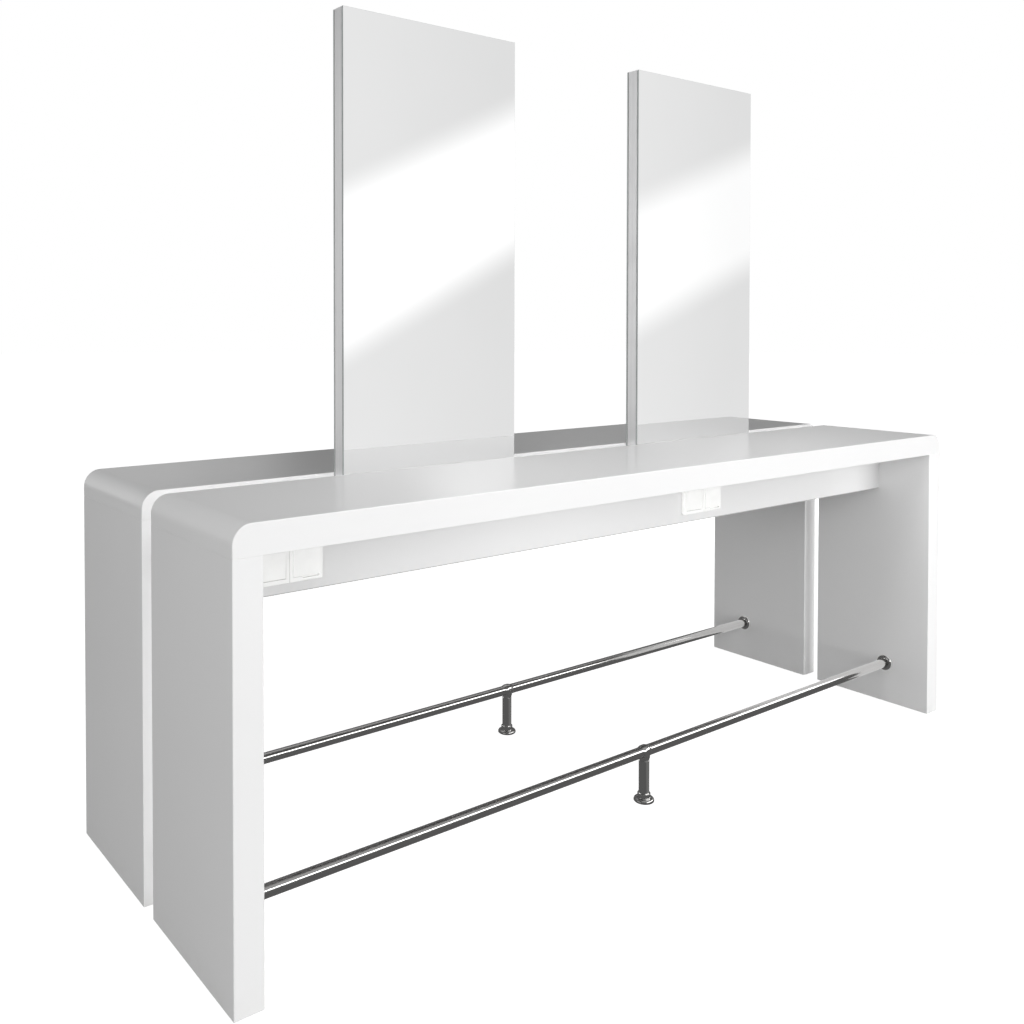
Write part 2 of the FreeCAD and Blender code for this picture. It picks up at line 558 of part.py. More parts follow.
for i, (x, z) in enumerate(BOLTS):
    o = link("bolt%d" % i, bolt_master)
    bolts.append(place(o, FRONT, x, "-1 * (%s) - dims.washer_thick" % FACE, z, ALONG_Y))
    o = link("nut%d" % i, nut_master)
    nuts.append(place(o, FRONT, x, "%s + dims.washer_thick" % FACE, z, ALONG_Y))
    for k, y in enumerate(("-1 * (%s) - dims.washer_thick" % FACE, FACE)):
        o = link("washer%d%d" % (i, k), washer_master)
        nuts.append(place(o, FRONT, x, y, z, ALONG_Y))
group("rail_bolts", bolts)
group("rail_nuts_washers", nuts)

# ------------------------------------------------------------------ foot rails
RAIL_Y = FRONT_Y + " + dims.rail_set"
RAIL_LONG = INNER + " - 2 * dims.plate_thick"
for side, word in ((FRONT, "front"), (REAR, "rear")):
    tube = body("%s_foot_rail" % word)
    sk = sketch(tube, "%s_rail_section" % word, "YZ_Plane")
    circle(sk, "0", "0", "dims.rail_radius")
    circle(sk, "0", "0", "dims.rail_radius - dims.rail_wall")
    pad(tube, "%s_rail_tube" % word, sk, RAIL_LONG)
    place(tube, side, LEFT_X + " + dims.leg_thick + dims.plate_thick", RAIL_Y, "dims.rail_height")
    keep(tube)

# fixing plate with a stub that enters the tube: axis +Z of the master points out of the leg
plate = body("plate_master")
sk = sketch(plate, "plate_section", "XZ_Plane")
polygon(sk, [("0", "0"), ("dims.plate_radius", "0"), ("dims.plate_radius", "dims.plate_thick"),
             ("dims.plate_stub_radius", "dims.plate_thick"), ("dims.plate_stub_radius", "dims.plate_thick + dims.plate_stub"),
             ("0", "dims.plate_thick + dims.plate_stub")])
revolve(plate, "plate_turned", sk)
sk = sketch(plate, "plate_points", "XY_Plane", "dims.plate_thick")
for i in range(3):
    c, s = math.cos(math.radians(90 + 120 * i)), math.sin(math.radians(90 + 120 * i))
    circle(sk, "0" if abs(c) < 1e-9 else "%.9f * dims.plate_screw_circle" % c, "%.9f * dims.plate_screw_circle" % s, "dims.screw_hole")
pocket(plate, "plate_bores", sk, "dims.plate_thick")
# domed cover that slides along the tube and hides the plate's screws
cover = body("cover_master")
sk = sketch(cover, "cover_section", "XZ_Plane")
bore = "dims.rail_radius + dims.cover_clear"
polygon(sk, [("dims.cover_cavity_radius", "0"), ("dims.cover_radius", "0"), ("dims.cover_radius", "dims.cover_depth"),
             (bore, "dims.cover_depth"), (bore, "dims.cover_cavity_depth"), ("dims.cover_cavity_radius", "dims.cover_cavity_depth")])
f = revolve(cover, "cover_turned", sk)
fillet(cover, "cover_dome", f, "dims.cover_round",
       lambda a, c: near(a.z, D["cover_depth"]) and near(c.z, D["cover_depth"]) and near(c.x, D["cover_radius"]))

plates, covers, screws = [], [], []
screw_master = fuse("screw_master", cyl("screw_shank", "dims.screw_radius", "dims.screw_length"),
                    cyl("screw_pan", "dims.screw_head_radius", "dims.screw_head", z="-1 * dims.screw_head"))


def screw(side, x, y, z, rotation):
    """A screw whose head's underside is at the point and whose shank runs along +Z of rotation."""
    o = link("screw%d" % len(screws), screw_master)
    screws.append(place(o, side, x, y, z, rotation))


def face_x(hand):
    """X of the front table's inner leg face, left for hand +1."""
    return "%s(dims.table_length / 2 - dims.leg_thick)" % ("-1 * " if hand > 0 else "")


# the plate's own +Z, +X and +Y go to row +X or -X and so on; a turn about Y keeps its Y
for side, tag in ((FRONT, "f"), (REAR, "r")):
    for hand in (1, -1):
        turn = ALONG_X if hand > 0 else AGAINST_X
        for master, store, word in ((plate, plates, "plate"), (cover, covers, "cover")):
            o = link("%s_%s%d" % (word, tag, hand > 0), master)
            # the bores' first point is along the master's +Y, so it is turned a quarter to lie up
            quarter = FreeCAD.Rotation(V(0, 0, 1), 90 if hand > 0 else -90)
            store.append(place(o, side, face_x(hand), RAIL_Y, "dims.rail_height", turn.multiply(quarter)))
        for i in range(3):
            c, s = math.cos(math.radians(90 + 120 * i)), math.sin(math.radians(90 + 120 * i))
            screw(side, "%s %s dims.plate_thick" % (face_x(hand), "+" if hand > 0 else "-"),
                  "%s + %.9f * dims.plate_screw_circle" % (RAIL_Y, c), "dims.rail_height + %.9f * dims.plate_screw_circle" % s,
                  AGAINST_X if hand > 0 else ALONG_X)
group("rail_end_plates", plates)
group("rail_end_covers", covers)

# centre post: a tee on the rail, the post tube, a turned foot and a rubber pad
tee_blank = fuse("tee_blank",
                 cyl("tee_sleeve", "dims.tee_radius", "dims.tee_length", "-1 * dims.tee_length / 2", axis="X"),
                 cyl("tee_collar", "dims.rail_radius", "dims.tee_neck", z="-1 * dims.tee_neck"),
                 cyl("tee_plug", "dims.rail_radius - dims.rail_wall - dims.cover_clear", "dims.tee_neck + dims.tee_spigot",
                     z="-1 * dims.tee_neck - dims.tee_spigot"))
tee_master = cut("tee_master", tee_blank,
                 cyl("tee_bore", "dims.rail_radius + 0.05", "dims.tee_length + 2", "-1 * dims.tee_length / 2 - 1", axis="X"),
                 cyl("tee_grub_bore", "dims.grub_radius + 0.05", "dims.tee_radius + 2", axis="Y"))
POST_FOOT = "dims.foot_pad + dims.foot_base"
POST_TOP = "dims.rail_height - dims.tee_neck"
post_master = cut("post_master", cyl("post_outer", "dims.rail_radius", "(%s) - (%s)" % (POST_TOP, POST_FOOT)),
                  cyl("post_inner", "dims.rail_radius - dims.rail_wall", "(%s) - (%s)" % (POST_TOP, POST_FOOT)))
foot = body("foot_master")
sk = sketch(foot, "foot_section", "XZ_Plane")
polygon(sk, [("0", "0"), ("dims.foot_radius", "0"), ("dims.foot_radius", "dims.foot_base + dims.foot_dome"),
             ("dims.tee_radius", "dims.foot_base + dims.foot_dome"),
             ("dims.tee_radius", "dims.foot_base + dims.foot_dome + dims.foot_collar"),
             ("dims.rail_radius + 0.05", "dims.foot_base + dims.foot_dome + dims.foot_collar"),
             ("dims.rail_radius + 0.05", "dims.foot_base"), ("0", "dims.foot_base")])
f = revolve(foot, "foot_turned", sk)
rim = D["foot_base"] + D["foot_dome"]
f = fillet(foot, "foot_dome_round", f, "dims.foot_dome", lambda a, c: near(a.z, rim) and near(c.z, rim) and near(c.x, D["foot_radius"]))
f = fillet(foot, "foot_collar_round", f, "dims.tee_round",
           lambda a, c: near(a.z, rim + D["foot_collar"]) and near(c.z, a.z) and near(c.x, D["tee_radius"]))
sk = sketch(foot, "foot_grub_point", "XZ_Plane")
circle(sk, "0", "dims.foot_base + dims.foot_dome + dims.foot_collar / 2", "dims.grub_radius + 0.05")
pocket(foot, "foot_grub_bore", sk, "dims.foot_radius", reverse=False)
grub_master = cyl("grub_master", "dims.grub_radius", "dims.grub_length")
pad_master = cyl("pad_master", "dims.foot_pad_radius", "dims.foot_pad")
tees, posts, feet, pads, grubs = [], [], [], [], []
for side, tag in ((FRONT, "f"), (REAR, "r")):
    tees.append(place(link("tee_" + tag, tee_master), side, "0", RAIL_Y, "dims.rail_height"))
    posts.append(place(link("post_" + tag, post_master), side, "0", RAIL_Y, POST_FOOT))
    feet.append(place(link("foot_" + tag, foot), side, "0", RAIL_Y, "dims.foot_pad"))
    pads.append(place(link("pad_" + tag, pad_master), side, "0", RAIL_Y, "0"))
    grubs.append(place(link("grub_tee_" + tag, grub_master), side, "0",
                       RAIL_Y + " + dims.rail_radius + 0.1", "dims.rail_height", ALONG_Y))
    grubs.append(place(link("grub_foot_" + tag, grub_master), side, "0",
                       RAIL_Y + " + dims.rail_radius + 0.1",
                       "dims.foot_pad + dims.foot_base + dims.foot_dome + dims.foot_collar / 2", ALONG_Y))
group("rail_tees", tees)
group("rail_posts", posts)
group("post_feet", feet)
group("post_foot_pads", pads)
group("grub_screws", grubs)

# ------------------------------------------------------------------ steel brackets inside the corners
bracket = body("bracket_master")
sk = sketch(bracket, "bracket_section", "XZ_Plane")
bl, bt = "dims.bracket_leg", "dims.bracket_thick"
polygon(sk, [("0", "-1 * " + bl), (bt, "-1 * " + bl), (bt, "-1 * " + bt), (bl, "-1 * " + bt), (bl, "0"), ("0", "0")])
pad(bracket, "bracket_angle", sk, "dims.bracket_width", reverse=True)
sk = sketch(bracket, "bracket_top_points", "XY_Plane", "-1 * " + bt)
for k in (0.25, 0.75):
    circle(sk, "dims.bracket_leg * 0.6", "dims.bracket_width * %g" % k, "dims.screw_hole")
pocket(bracket, "bracket_top_bores", sk, "dims.bracket_thick", reverse=True)
sk = sketch(bracket, "bracket_leg_points", "YZ_Plane", bt)
for k in (0.25, 0.75):
    circle(sk, "dims.bracket_width * %g" % k, "-0.6 * dims.bracket_leg", "dims.screw_hole")
pocket(bracket, "bracket_leg_bores", sk, "dims.bracket_thick")
brackets = []
UNDER = "dims.table_height - dims.slab_thick"
for side, tag in ((FRONT, "f"), (REAR, "r")):
    for hand in (1, -1):
        o = link("bracket_%s%d" % (tag, hand > 0), bracket)
        turn = FreeCAD.Rotation() if hand > 0 else HALF_TURN
        y = FRONT_Y + " + dims.bracket_set" + ("" if hand > 0 else " + dims.bracket_width")
        brackets.append(place(o, side, face_x(hand), y, UNDER, turn))
        for k in (0.25, 0.75):
            yk = FRONT_Y + " + dims.bracket_set + dims.bracket_width * %g" % k
            sgn = "+" if hand > 0 else "-"
            screw(side, "%s %s dims.bracket_leg * 0.6" % (face_x(hand), sgn), yk, UNDER + " - dims.bracket_thick", FreeCAD.Rotation())
            screw(side, "%s %s dims.bracket_thick" % (face_x(hand), sgn), yk, UNDER + " - dims.bracket_leg * 0.6",
                  AGAINST_X if hand > 0 else ALONG_X)
group("corner_brackets", brackets)

# ------------------------------------------------------------------ cable trays and supply boxes
tray_master = body("tray_master")
sk = sketch(tray_master, "tray_profile", "YZ_Plane")
w, h, s = "dims.tray_width", "dims.tray_height", "dims.tray_sheet"
polygon(sk, [("0", "0"), (w, "0"), (w, h), (w + " - " + s, h), (w + " - " + s, s), (s, s), (s, h), ("0", h)])
pad(tray_master, "tray_channel", sk, "dims.tray_section")
sk = sketch(tray_master, "tray_points", "XZ_Plane")
for k in (-0.5, 0.5):
    circle(sk, "dims.tray_section / 2 + %g * dims.tray_screw_pitch" % k, "dims.tray_height * 0.6", "dims.screw_hole")
pocket(tray_master, "tray_bores", sk, "dims.tray_sheet * 2", reverse=False)
trays = []
for side, tag in ((FRONT, "f"), (REAR, "r")):
    for i in (-1, 0, 1):
        o = link("tray_%s%d" % (tag, i + 1), tray_master)
        trays.append(place(o, side, "%d * dims.tray_pitch - dims.tray_section / 2" % i, APRON_Y + " + dims.apron_thick",
                           APRON_Z + " + dims.tray_gap"))
    for x in TRAY_SCREWS:
        screw(side, x, APRON_Y + " + dims.apron_thick + dims.tray_sheet",
              APRON_Z + " + dims.tray_gap + dims.tray_height * 0.6", AGAINST_Y)

group("cable_trays", trays)

# Each junction box stands upright on the inner face of the back rail, its gland below.  The
# master lies with its back up: its +X goes to row +Z, its +Y to +X and its +Z to +Y.
jl, jw, jh, jt = "dims.junction_length", "dims.junction_width", "dims.junction_height", "dims.junction_wall"
junction_master = cut("junction_master",
                      box("junction_blank", jl, jw, jh, z="-1 * " + jh),
                      box("junction_room", "%s - 2 * %s" % (jl, jt), "%s - 2 * %s" % (jw, jt), "%s - %s" % (jh, jt),
                          jt, jt, "-1 * " + jh),
                      cyl("junction_hole_a", "dims.screw_hole", "2 * " + jt, "%s * %g" % (jl, JUNCTION_SCREWS[0]), "%s / 2" % jw, "-1 * " + jt),
                      cyl("junction_hole_b", "dims.screw_hole", "2 * " + jt, "%s * %g" % (jl, JUNCTION_SCREWS[1]), "%s / 2" % jw, "-1 * " + jt),
                      cyl("junction_gland_hole", "dims.gland_thread_radius + 0.1", "2 * " + jt, "-1 * " + jt, "%s / 2" % jw,
                          "-1 * %s / 2" % jh, "X"))
junction_cover_master = box("junction_cover_master", jl, jw, jt)
gland_master = cut("gland_master",
                   fuse("gland_blank",
                        prim("Part::Prism", "gland_hex_part", Polygon=6, Circumradius="dims.gland_af / 1.7320508", Height="dims.gland_hex"),
                        cyl("gland_thread", "dims.gland_thread_radius", "dims.gland_tail", z="-1 * dims.gland_tail"),
                        cyl("gland_dome", "dims.gland_body_radius", "dims.gland_body", z="dims.gland_hex")),
                   cyl("gland_hole", "dims.gland_bore", "dims.gland_tail + dims.gland_hex + dims.gland_body + 2",
                       z="-1 * dims.gland_tail - 1"))
gland_nut_master = cut("gland_nut_master",
                       prim("Part::Prism", "gland_nut_blank", Polygon=6, Circumradius="dims.gland_af / 1.7320508", Height="dims.gland_nut"),
                       cyl("gland_nut_hole", "dims.gland_thread_radius + 0.05", "dims.gland_nut"))
UPRIGHT = FreeCAD.Rotation(V(1, 1, 1), -120)
junctions, glands = [], []
JX = LEFT_X + " + dims.junction_x"
for side, tag in ((FRONT, "f"), (REAR, "r")):
    junctions.append(place(link("junction_" + tag, junction_master), side, JX, BACK_Y, "dims.junction_foot", UPRIGHT))
    junctions.append(place(link("junction_cover_" + tag, junction_cover_master), side, JX,
                           "%s - %s - %s" % (BACK_Y, jh, jt), "dims.junction_foot", UPRIGHT))
    gx, gy = "%s + %s / 2" % (JX, jw), "%s - %s / 2" % (BACK_Y, jh)
    glands.append(place(link("gland_" + tag, gland_master), side, gx, gy, "dims.junction_foot", UPSIDE_DOWN))
    glands.append(place(link("gland_nut_" + tag, gland_nut_master), side, gx, gy, "dims.junction_foot + " + jt))
    for k in JUNCTION_SCREWS:
        screw(side, gx, "%s - %s" % (BACK_Y, jt), "dims.junction_foot + %s * %g" % (jl, k), ALONG_Y)
group("junction_boxes", junctions)
group("supply_glands", glands)

# ------------------------------------------------------------------ power points
# Each one has a double cover plate: a rocker switch in its left half and a socket behind a
# sprung flap in its right half.  Its local frame starts at the plate's lower left corner on
# the apron's face: x right, y into the apron, z up.
PW, PH = "dims.plate_width", "dims.plate_height"
WX = ["dims.plate_width / 4 - dims.window_width / 2", "dims.plate_width * 3 / 4 - dims.window_width / 2"]
WZ = "(dims.plate_height - dims.window_height) / 2"
HINGE_Z = WZ + " + dims.window_height - dims.hinge_drop"
HINGE_Y = "-1 * dims.hinge_back"
UNITS = [(FRONT, "front_left", "dims.socket_one_x"), (FRONT, "front_right", "dims.socket_two_x"),
         (REAR, "rear_right", "dims.socket_one_x"), (REAR, "rear_left", "dims.socket_two_x")]


def unit(obj, side, centre, x="0", y="0", z="0", rotation=None):
    """Places obj at x, y, z of the power point's own frame."""
    return place(obj, side, "%s + %s - dims.plate_width / 2 + %s" % (LEFT_X, centre, x), "%s + %s" % (APRON_Y, y),
                 "dims.socket_height - dims.plate_height / 2 + %s" % z, rotation)


boxes, switch_bodies, contacts, pins, springs = [], [], [], [], []

# back box, open to the front
box_master = cut("box_master",
                 box("box_blank", "dims.box_length", "dims.box_depth", "dims.box_height"),
                 box("box_room", "dims.box_length - 2 * dims.box_wall", "dims.box_depth - dims.box_wall",
                     "dims.box_height - 2 * dims.box_wall", "dims.box_wall", "0", "dims.box_wall"))

# switch mechanism: a flange on the apron, a body in the box and two cheeks for the trunnions
CX = "dims.plate_width / 4"
CZ = "dims.plate_height / 2"
half_cheek = "dims.cheek_gap / 2"
switch_master = cut(
    "switch_master",
    fuse("switch_blank",
         box("switch_flange", "dims.flange_size", "dims.plate_recess", "dims.flange_size",
             "%s - dims.flange_size / 2" % CX, "-1 * dims.plate_recess", "%s - dims.flange_size / 2" % CZ),
         box("switch_body", "dims.insert_body", "dims.insert_depth", "dims.insert_body",
             "%s - dims.insert_body / 2" % CX, "0", "%s - dims.insert_body / 2" % CZ),
         box("switch_cheek_a", "dims.cheek_thick", "dims.cheek_proud", "dims.cheek_tall",
             "%s - %s - dims.cheek_thick" % (CX, half_cheek), "-1 * dims.cheek_proud", "%s - dims.cheek_tall / 2" % CZ),
         box("switch_cheek_b", "dims.cheek_thick", "dims.cheek_proud", "dims.cheek_tall",
             "%s + %s" % (CX, half_cheek), "-1 * dims.cheek_proud", "%s - dims.cheek_tall / 2" % CZ)),
    # a well behind the rocker's boss, and the trunnion bores
    box("switch_well", "dims.cheek_gap", "dims.plate_recess + 6", "dims.cheek_tall + 2",
        "%s - %s" % (CX, half_cheek), "-1 * dims.plate_recess", "%s - dims.cheek_tall / 2 - 1" % CZ),
    cyl("switch_bore", "dims.trunnion_radius + dims.trunnion_clear", "dims.cheek_gap + 2 * dims.cheek_thick + 2",
        "%s - %s - dims.cheek_thick - 1" % (CX, half_cheek), "-1 * dims.rocker_pivot", CZ, "X"))

# brass sleeve that grips a plug's pin
contact_master = cut("contact_master", cyl("contact_outer", "dims.contact_radius", "dims.contact_length"),
                     cyl("contact_hole", "dims.contact_bore", "dims.contact_length - 2"))
pin_master = cyl("pin_master", "dims.pin_radius", "dims.window_width + 2 * dims.pin_in")
# flap spring: the coil round the pin, one leg against the socket and one behind the flap
spring_master = fuse("spring_master",
                     cut("spring_coil", cyl("spring_outer", "dims.spring_radius", "dims.spring_length"),
                         cyl("spring_inner", "dims.pin_radius + 0.1", "dims.spring_length")),
                     box("spring_foot", "dims.spring_wire", "3", "dims.spring_wire", "-1 * dims.spring_wire / 2", "1", "0"),
                     box("spring_arm", "3.6", "dims.spring_wire", "dims.spring_wire", "0",
                         "dims.spring_radius - dims.spring_wire", "dims.spring_length - dims.spring_wire"))

for side, name, centre in UNITS:
    # cover plate
    b = body(name + "_socket_frame")
    sk = sketch(b, name + "_frame_outline", "XZ_Plane")
    rectangle(sk, "0", "0", PW, PH)
    f = pad(b, name + "_frame_block", sk, "dims.plate_proud")
    f = fillet(b, name + "_frame_corners", f, "dims.plate_corner", lambda a, c: c.y - a.y > 5)
    front = -D["plate_proud"]
    f = fillet(b, name + "_frame_arris", f, "dims.plate_arris", lambda a, c: near(a.y, front) and near(c.y, front))
    sk = sketch(b, name + "_frame_windows", "XZ_Plane", "dims.plate_proud")
    for x0 in WX:
        rectangle(sk, x0, WZ, x0 + " + dims.window_width", WZ + " + dims.window_height")
    f = pocket(b, name + "_frame_openings", sk, "dims.plate_proud")
    sk = sketch(b, name + "_frame_recess", "XZ_Plane")
    rim = "(dims.plate_height - dims.flange_size) / 2"
    rectangle(sk, "(dims.plate_width / 2 - dims.flange_size) / 2 - dims.insert_clear", rim + " - dims.insert_clear",
              "dims.plate_width - (dims.plate_width / 2 - dims.flange_size) / 2 + dims.insert_clear",
              "dims.plate_height - (%s) + dims.insert_clear" % rim)
    f = pocket(b, name + "_frame_back", sk, "dims.plate_recess", reverse=True)
    sk = sketch(b, name + "_frame_seam", "XZ_Plane", "dims.plate_proud")
    rectangle(sk, "(dims.plate_width - dims.seam_width) / 2", "0", "(dims.plate_width + dims.seam_width) / 2", "dims.plate_height")
    f = pocket(b, name + "_frame_groove", sk, "dims.seam_depth")
    sk = sketch(b, name + "_frame_finger", "XZ_Plane", "dims.plate_proud")
    fx = "%s + dims.window_width - dims.finger_width" % WX[1]
    rectangle(sk, fx, WZ + " - dims.finger_height", fx + " + dims.finger_width", WZ + " + 1")
    f = pocket(b, name + "_frame_grip", sk, "dims.finger_depth")
    sk = sketch(b, name + "_frame_pin", "YZ_Plane", "%s - dims.pin_in" % WX[1])
    circle(sk, HINGE_Y, HINGE_Z, "dims.pin_radius + 0.02")
    f = pocket(b, name + "_frame_pin_bore", sk, "dims.window_width + 2 * dims.pin_in", reverse=True)
    unit(b, side, centre)
    keep(b)

    # socket insert: flange, face block in the window, body in the box, round recess for the plug
    b = body(name + "_socket")
    sx = "dims.plate_width * 3 / 4"
    sk = sketch(b, name + "_socket_flange", "XZ_Plane")
    rectangle(sk, sx + " - dims.flange_size / 2", CZ + " - dims.flange_size / 2", sx + " + dims.flange_size / 2",
              CZ + " + dims.flange_size / 2")
    f = pad(b, name + "_socket_plate", sk, "dims.plate_recess")
    sk = sketch(b, name + "_socket_face", "XZ_Plane", "dims.plate_recess")
    rectangle(sk, WX[1] + " + dims.insert_clear", WZ + " + dims.insert_clear", WX[1] + " + dims.window_width - dims.insert_clear",
              WZ + " + dims.window_height - dims.insert_clear")
    f = pad(b, name + "_socket_face_block", sk, "dims.insert_face")
    sk = sketch(b, name + "_socket_rear", "XZ_Plane")
    rectangle(sk, sx + " - dims.insert_body / 2", CZ + " - dims.insert_body / 2", sx + " + dims.insert_body / 2",
              CZ + " + dims.insert_body / 2")
    f = pad(b, name + "_socket_body", sk, "dims.insert_depth", reverse=True)
    sk = sketch(b, name + "_socket_ring", "XZ_Plane", "dims.plate_recess + dims.insert_face")
    circle(sk, sx, CZ, "dims.recess_radius")
    f = pocket(b, name + "_socket_recess", sk, "dims.recess_depth")
    sk = sketch(b, name + "_socket_points", "XZ_Plane", "-1 * dims.insert_depth")
    for k in (-0.5, 0.5):
        circle(sk, "%s + %g * dims.contact_pitch" % (sx, k), CZ, "dims.contact_radius + 0.05")
    f = pocket(b, name + "_socket_bores", sk, "dims.insert_depth", reverse=True)
    # room for the flap's hinge behind the upper edge of the face
    sk = sketch(b, name + "_socket_step", "XZ_Plane", "dims.plate_recess + dims.insert_face")
    rectangle(sk, WX[1], HINGE_Z + " - 4", WX[1] + " + dims.window_width", WZ + " + dims.window_height")
    f = pocket(b, name + "_socket_hinge_room", sk, "1.5")
    unit(b, side, centre)
    keep(b)

    # flap: a plate hung from its rounded upper edge, with a raised panel on its face
    b = body(name + "_socket_lid")
    sk = sketch(b, name + "_lid_section", "YZ_Plane")
    t2 = "dims.lid_thick / 2"
    low = "dims.lid_foot - (%s - (%s))" % (HINGE_Z, WZ)
    polygon(sk, [(t2, low), (t2, t2), ("-1 * " + t2, t2), ("-1 * " + t2, "-1 * dims.lid_pad_drop"),
                 ("-1 * %s - dims.lid_pad" % t2, "-1 * dims.lid_pad_drop"), ("-1 * %s - dims.lid_pad" % t2, low)])
    f = pad(b, name + "_lid_plate", sk, "dims.lid_width")
    top = D["lid_thick"] / 2
    f = fillet(b, name + "_lid_barrel", f, "dims.lid_thick / 2 - 0.05", lambda a, c: near(a.z, top) and near(c.z, top) and near(a.y, c.y))
    outer = -D["lid_thick"] / 2 - D["lid_pad"]
    f = fillet(b, name + "_lid_soft", f, "dims.rocker_round", lambda a, c: near(a.y, outer) and near(c.y, outer))
    sk = sketch(b, name + "_lid_notch_lines", "XZ_Plane", "-1 * dims.lid_thick")
    nx = "dims.lid_width / 2 - dims.notch_width / 2"
    rectangle(sk, nx, "%s - dims.notch_depth" % t2, nx + " + dims.notch_width", t2 + " + 1")
    f = pocket(b, name + "_lid_notch", sk, "dims.lid_thick * 2 + dims.lid_pad", reverse=True)
    sk = sketch(b, name + "_lid_pin_point", "YZ_Plane")
    circle(sk, "0", "0", "dims.pin_radius + dims.pin_clear")
    f = pocket(b, name + "_lid_pin_bore", sk, "dims.lid_width", reverse=True)
    unit(b, side, centre, "%s + (dims.window_width - dims.lid_width) / 2" % WX[1], HINGE_Y, HINGE_Z)
    keep(b)

    # rocker: its origin is its pivot, and it rests tilted to the off side
    b = body(name + "_switch_rocker")
    sk = sketch(b, name + "_rocker_outline", "XZ_Plane", "dims.rocker_back")
    rectangle(sk, "-1 * dims.rocker_width / 2", "-1 * dims.rocker_tall / 2", "dims.rocker_width / 2", "dims.rocker_tall / 2")
    f = pad(b, name + "_rocker_plate", sk, "dims.rocker_thick")
    outer = -(D["rocker_back"] + D["rocker_thick"])
    f = fillet(b, name + "_rocker_soft", f, "dims.rocker_round", lambda a, c: near(a.y, outer) and near(c.y, outer))
    sk = sketch(b, name + "_rocker_boss_lines", "XZ_Plane", "dims.rocker_back")
    rectangle(sk, "-1 * dims.rocker_boss / 2", "-1 * dims.rocker_boss_tall / 2", "dims.rocker_boss / 2", "dims.rocker_boss_tall / 2")
    f = pad(b, name + "_rocker_boss", sk, "dims.rocker_back + 2.5", reverse=True)
    sk = sketch(b, name + "_rocker_axle_point", "YZ_Plane", "-1 * dims.trunnion_length / 2")
    circle(sk, "0", "0", "dims.trunnion_radius")
    f = pad(b, name + "_rocker_axle", sk, "dims.trunnion_length")
    unit(b, side, centre, CX, "-1 * dims.rocker_pivot", CZ, FreeCAD.Rotation(V(1, 0, 0), D["rocker_tilt"]))
    keep(b)

    boxes.append(unit(link(name + "_box", box_master), side, centre, "(dims.plate_width - dims.box_length) / 2", "0",
                      "(dims.plate_height - dims.box_height) / 2"))
    switch_bodies.append(unit(link(name + "_switch_body", switch_master), side, centre))
    for k in (-0.5, 0.5):
        o = link("%s_contact%d" % (name, k > 0), contact_master)
        contacts.append(unit(o, side, centre, "%s + %g * dims.contact_pitch" % (sx, k),
                             "dims.recess_depth - dims.plate_recess - dims.insert_face + 0.5", CZ, ALONG_Y))
    pins.append(unit(link(name + "_pin", pin_master), side, centre, "%s - dims.pin_in" % WX[1], HINGE_Y, HINGE_Z, ALONG_X))
    springs.append(unit(link(name + "_spring", spring_master), side, centre,
                        "%s + (dims.window_width - dims.spring_length) / 2" % WX[1], HINGE_Y, HINGE_Z, ALONG_X))
group("socket_boxes", boxes)
group("switch_bodies", switch_bodies)
group("socket_contacts", contacts)
group("lid_hinge_pins", pins)
group("lid_springs", springs)
group("wood_screws", screws)

# ------------------------------------------------------------------ checks and output
doc.recompute()
bad = []
for o in doc.Objects:
    if "Invalid" in o.State or "Error" in o.State:
        bad.append("%s %s" % (o.Name, o.State))
for o in written:
    s = o.Shape
    if s.isNull() or not s.isValid() or not s.Solids:
        bad.append("%s has no valid solid" % o.Label)
    elif o.isDerivedFrom("PartDesign::Body") and len(s.Solids) != 1:
        bad.append("%s has %d solids" % (o.Label, len(s.Solids)))
if bad:
    raise RuntimeError("; ".join(bad))
os.makedirs("parts", exist_ok=True)
for o in written:
    o.Shape.exportStep("parts/%s.step" % o.Label)
    bb = o.Shape.BoundBox
    print("%-28s solids %2d  vol %12.1f  x %9.2f %9.2f  y %8.2f %8.2f  z %8.2f %8.2f" % (
        o.Label, len(o.Shape.Solids), o.Shape.Volume, bb.XMin, bb.XMax, bb.YMin, bb.YMax, bb.ZMin, bb.ZMax))
print(len(written), "nodes")
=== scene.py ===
import bpy
import bmesh
import json
import math
from mathutils import Matrix, Vector

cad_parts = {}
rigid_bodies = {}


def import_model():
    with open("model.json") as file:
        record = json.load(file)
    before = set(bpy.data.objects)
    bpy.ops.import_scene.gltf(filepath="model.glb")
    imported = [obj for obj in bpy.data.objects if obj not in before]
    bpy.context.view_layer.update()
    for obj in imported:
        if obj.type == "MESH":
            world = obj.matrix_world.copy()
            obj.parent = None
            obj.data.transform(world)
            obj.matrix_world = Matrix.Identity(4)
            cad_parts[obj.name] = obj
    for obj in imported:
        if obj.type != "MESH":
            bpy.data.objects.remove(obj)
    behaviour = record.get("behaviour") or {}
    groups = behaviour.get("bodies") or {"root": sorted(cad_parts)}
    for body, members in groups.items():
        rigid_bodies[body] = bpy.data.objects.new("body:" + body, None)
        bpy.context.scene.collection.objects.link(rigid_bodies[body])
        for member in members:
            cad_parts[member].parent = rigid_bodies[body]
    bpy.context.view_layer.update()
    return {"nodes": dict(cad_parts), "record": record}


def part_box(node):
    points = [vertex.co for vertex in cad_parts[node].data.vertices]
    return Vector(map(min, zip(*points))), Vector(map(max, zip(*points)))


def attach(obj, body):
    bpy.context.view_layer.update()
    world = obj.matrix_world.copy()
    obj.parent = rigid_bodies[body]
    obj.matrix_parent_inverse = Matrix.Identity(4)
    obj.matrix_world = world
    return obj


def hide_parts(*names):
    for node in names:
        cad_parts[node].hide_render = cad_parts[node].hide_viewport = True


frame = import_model()
NODES = frame["nodes"]
scene = bpy.context.scene


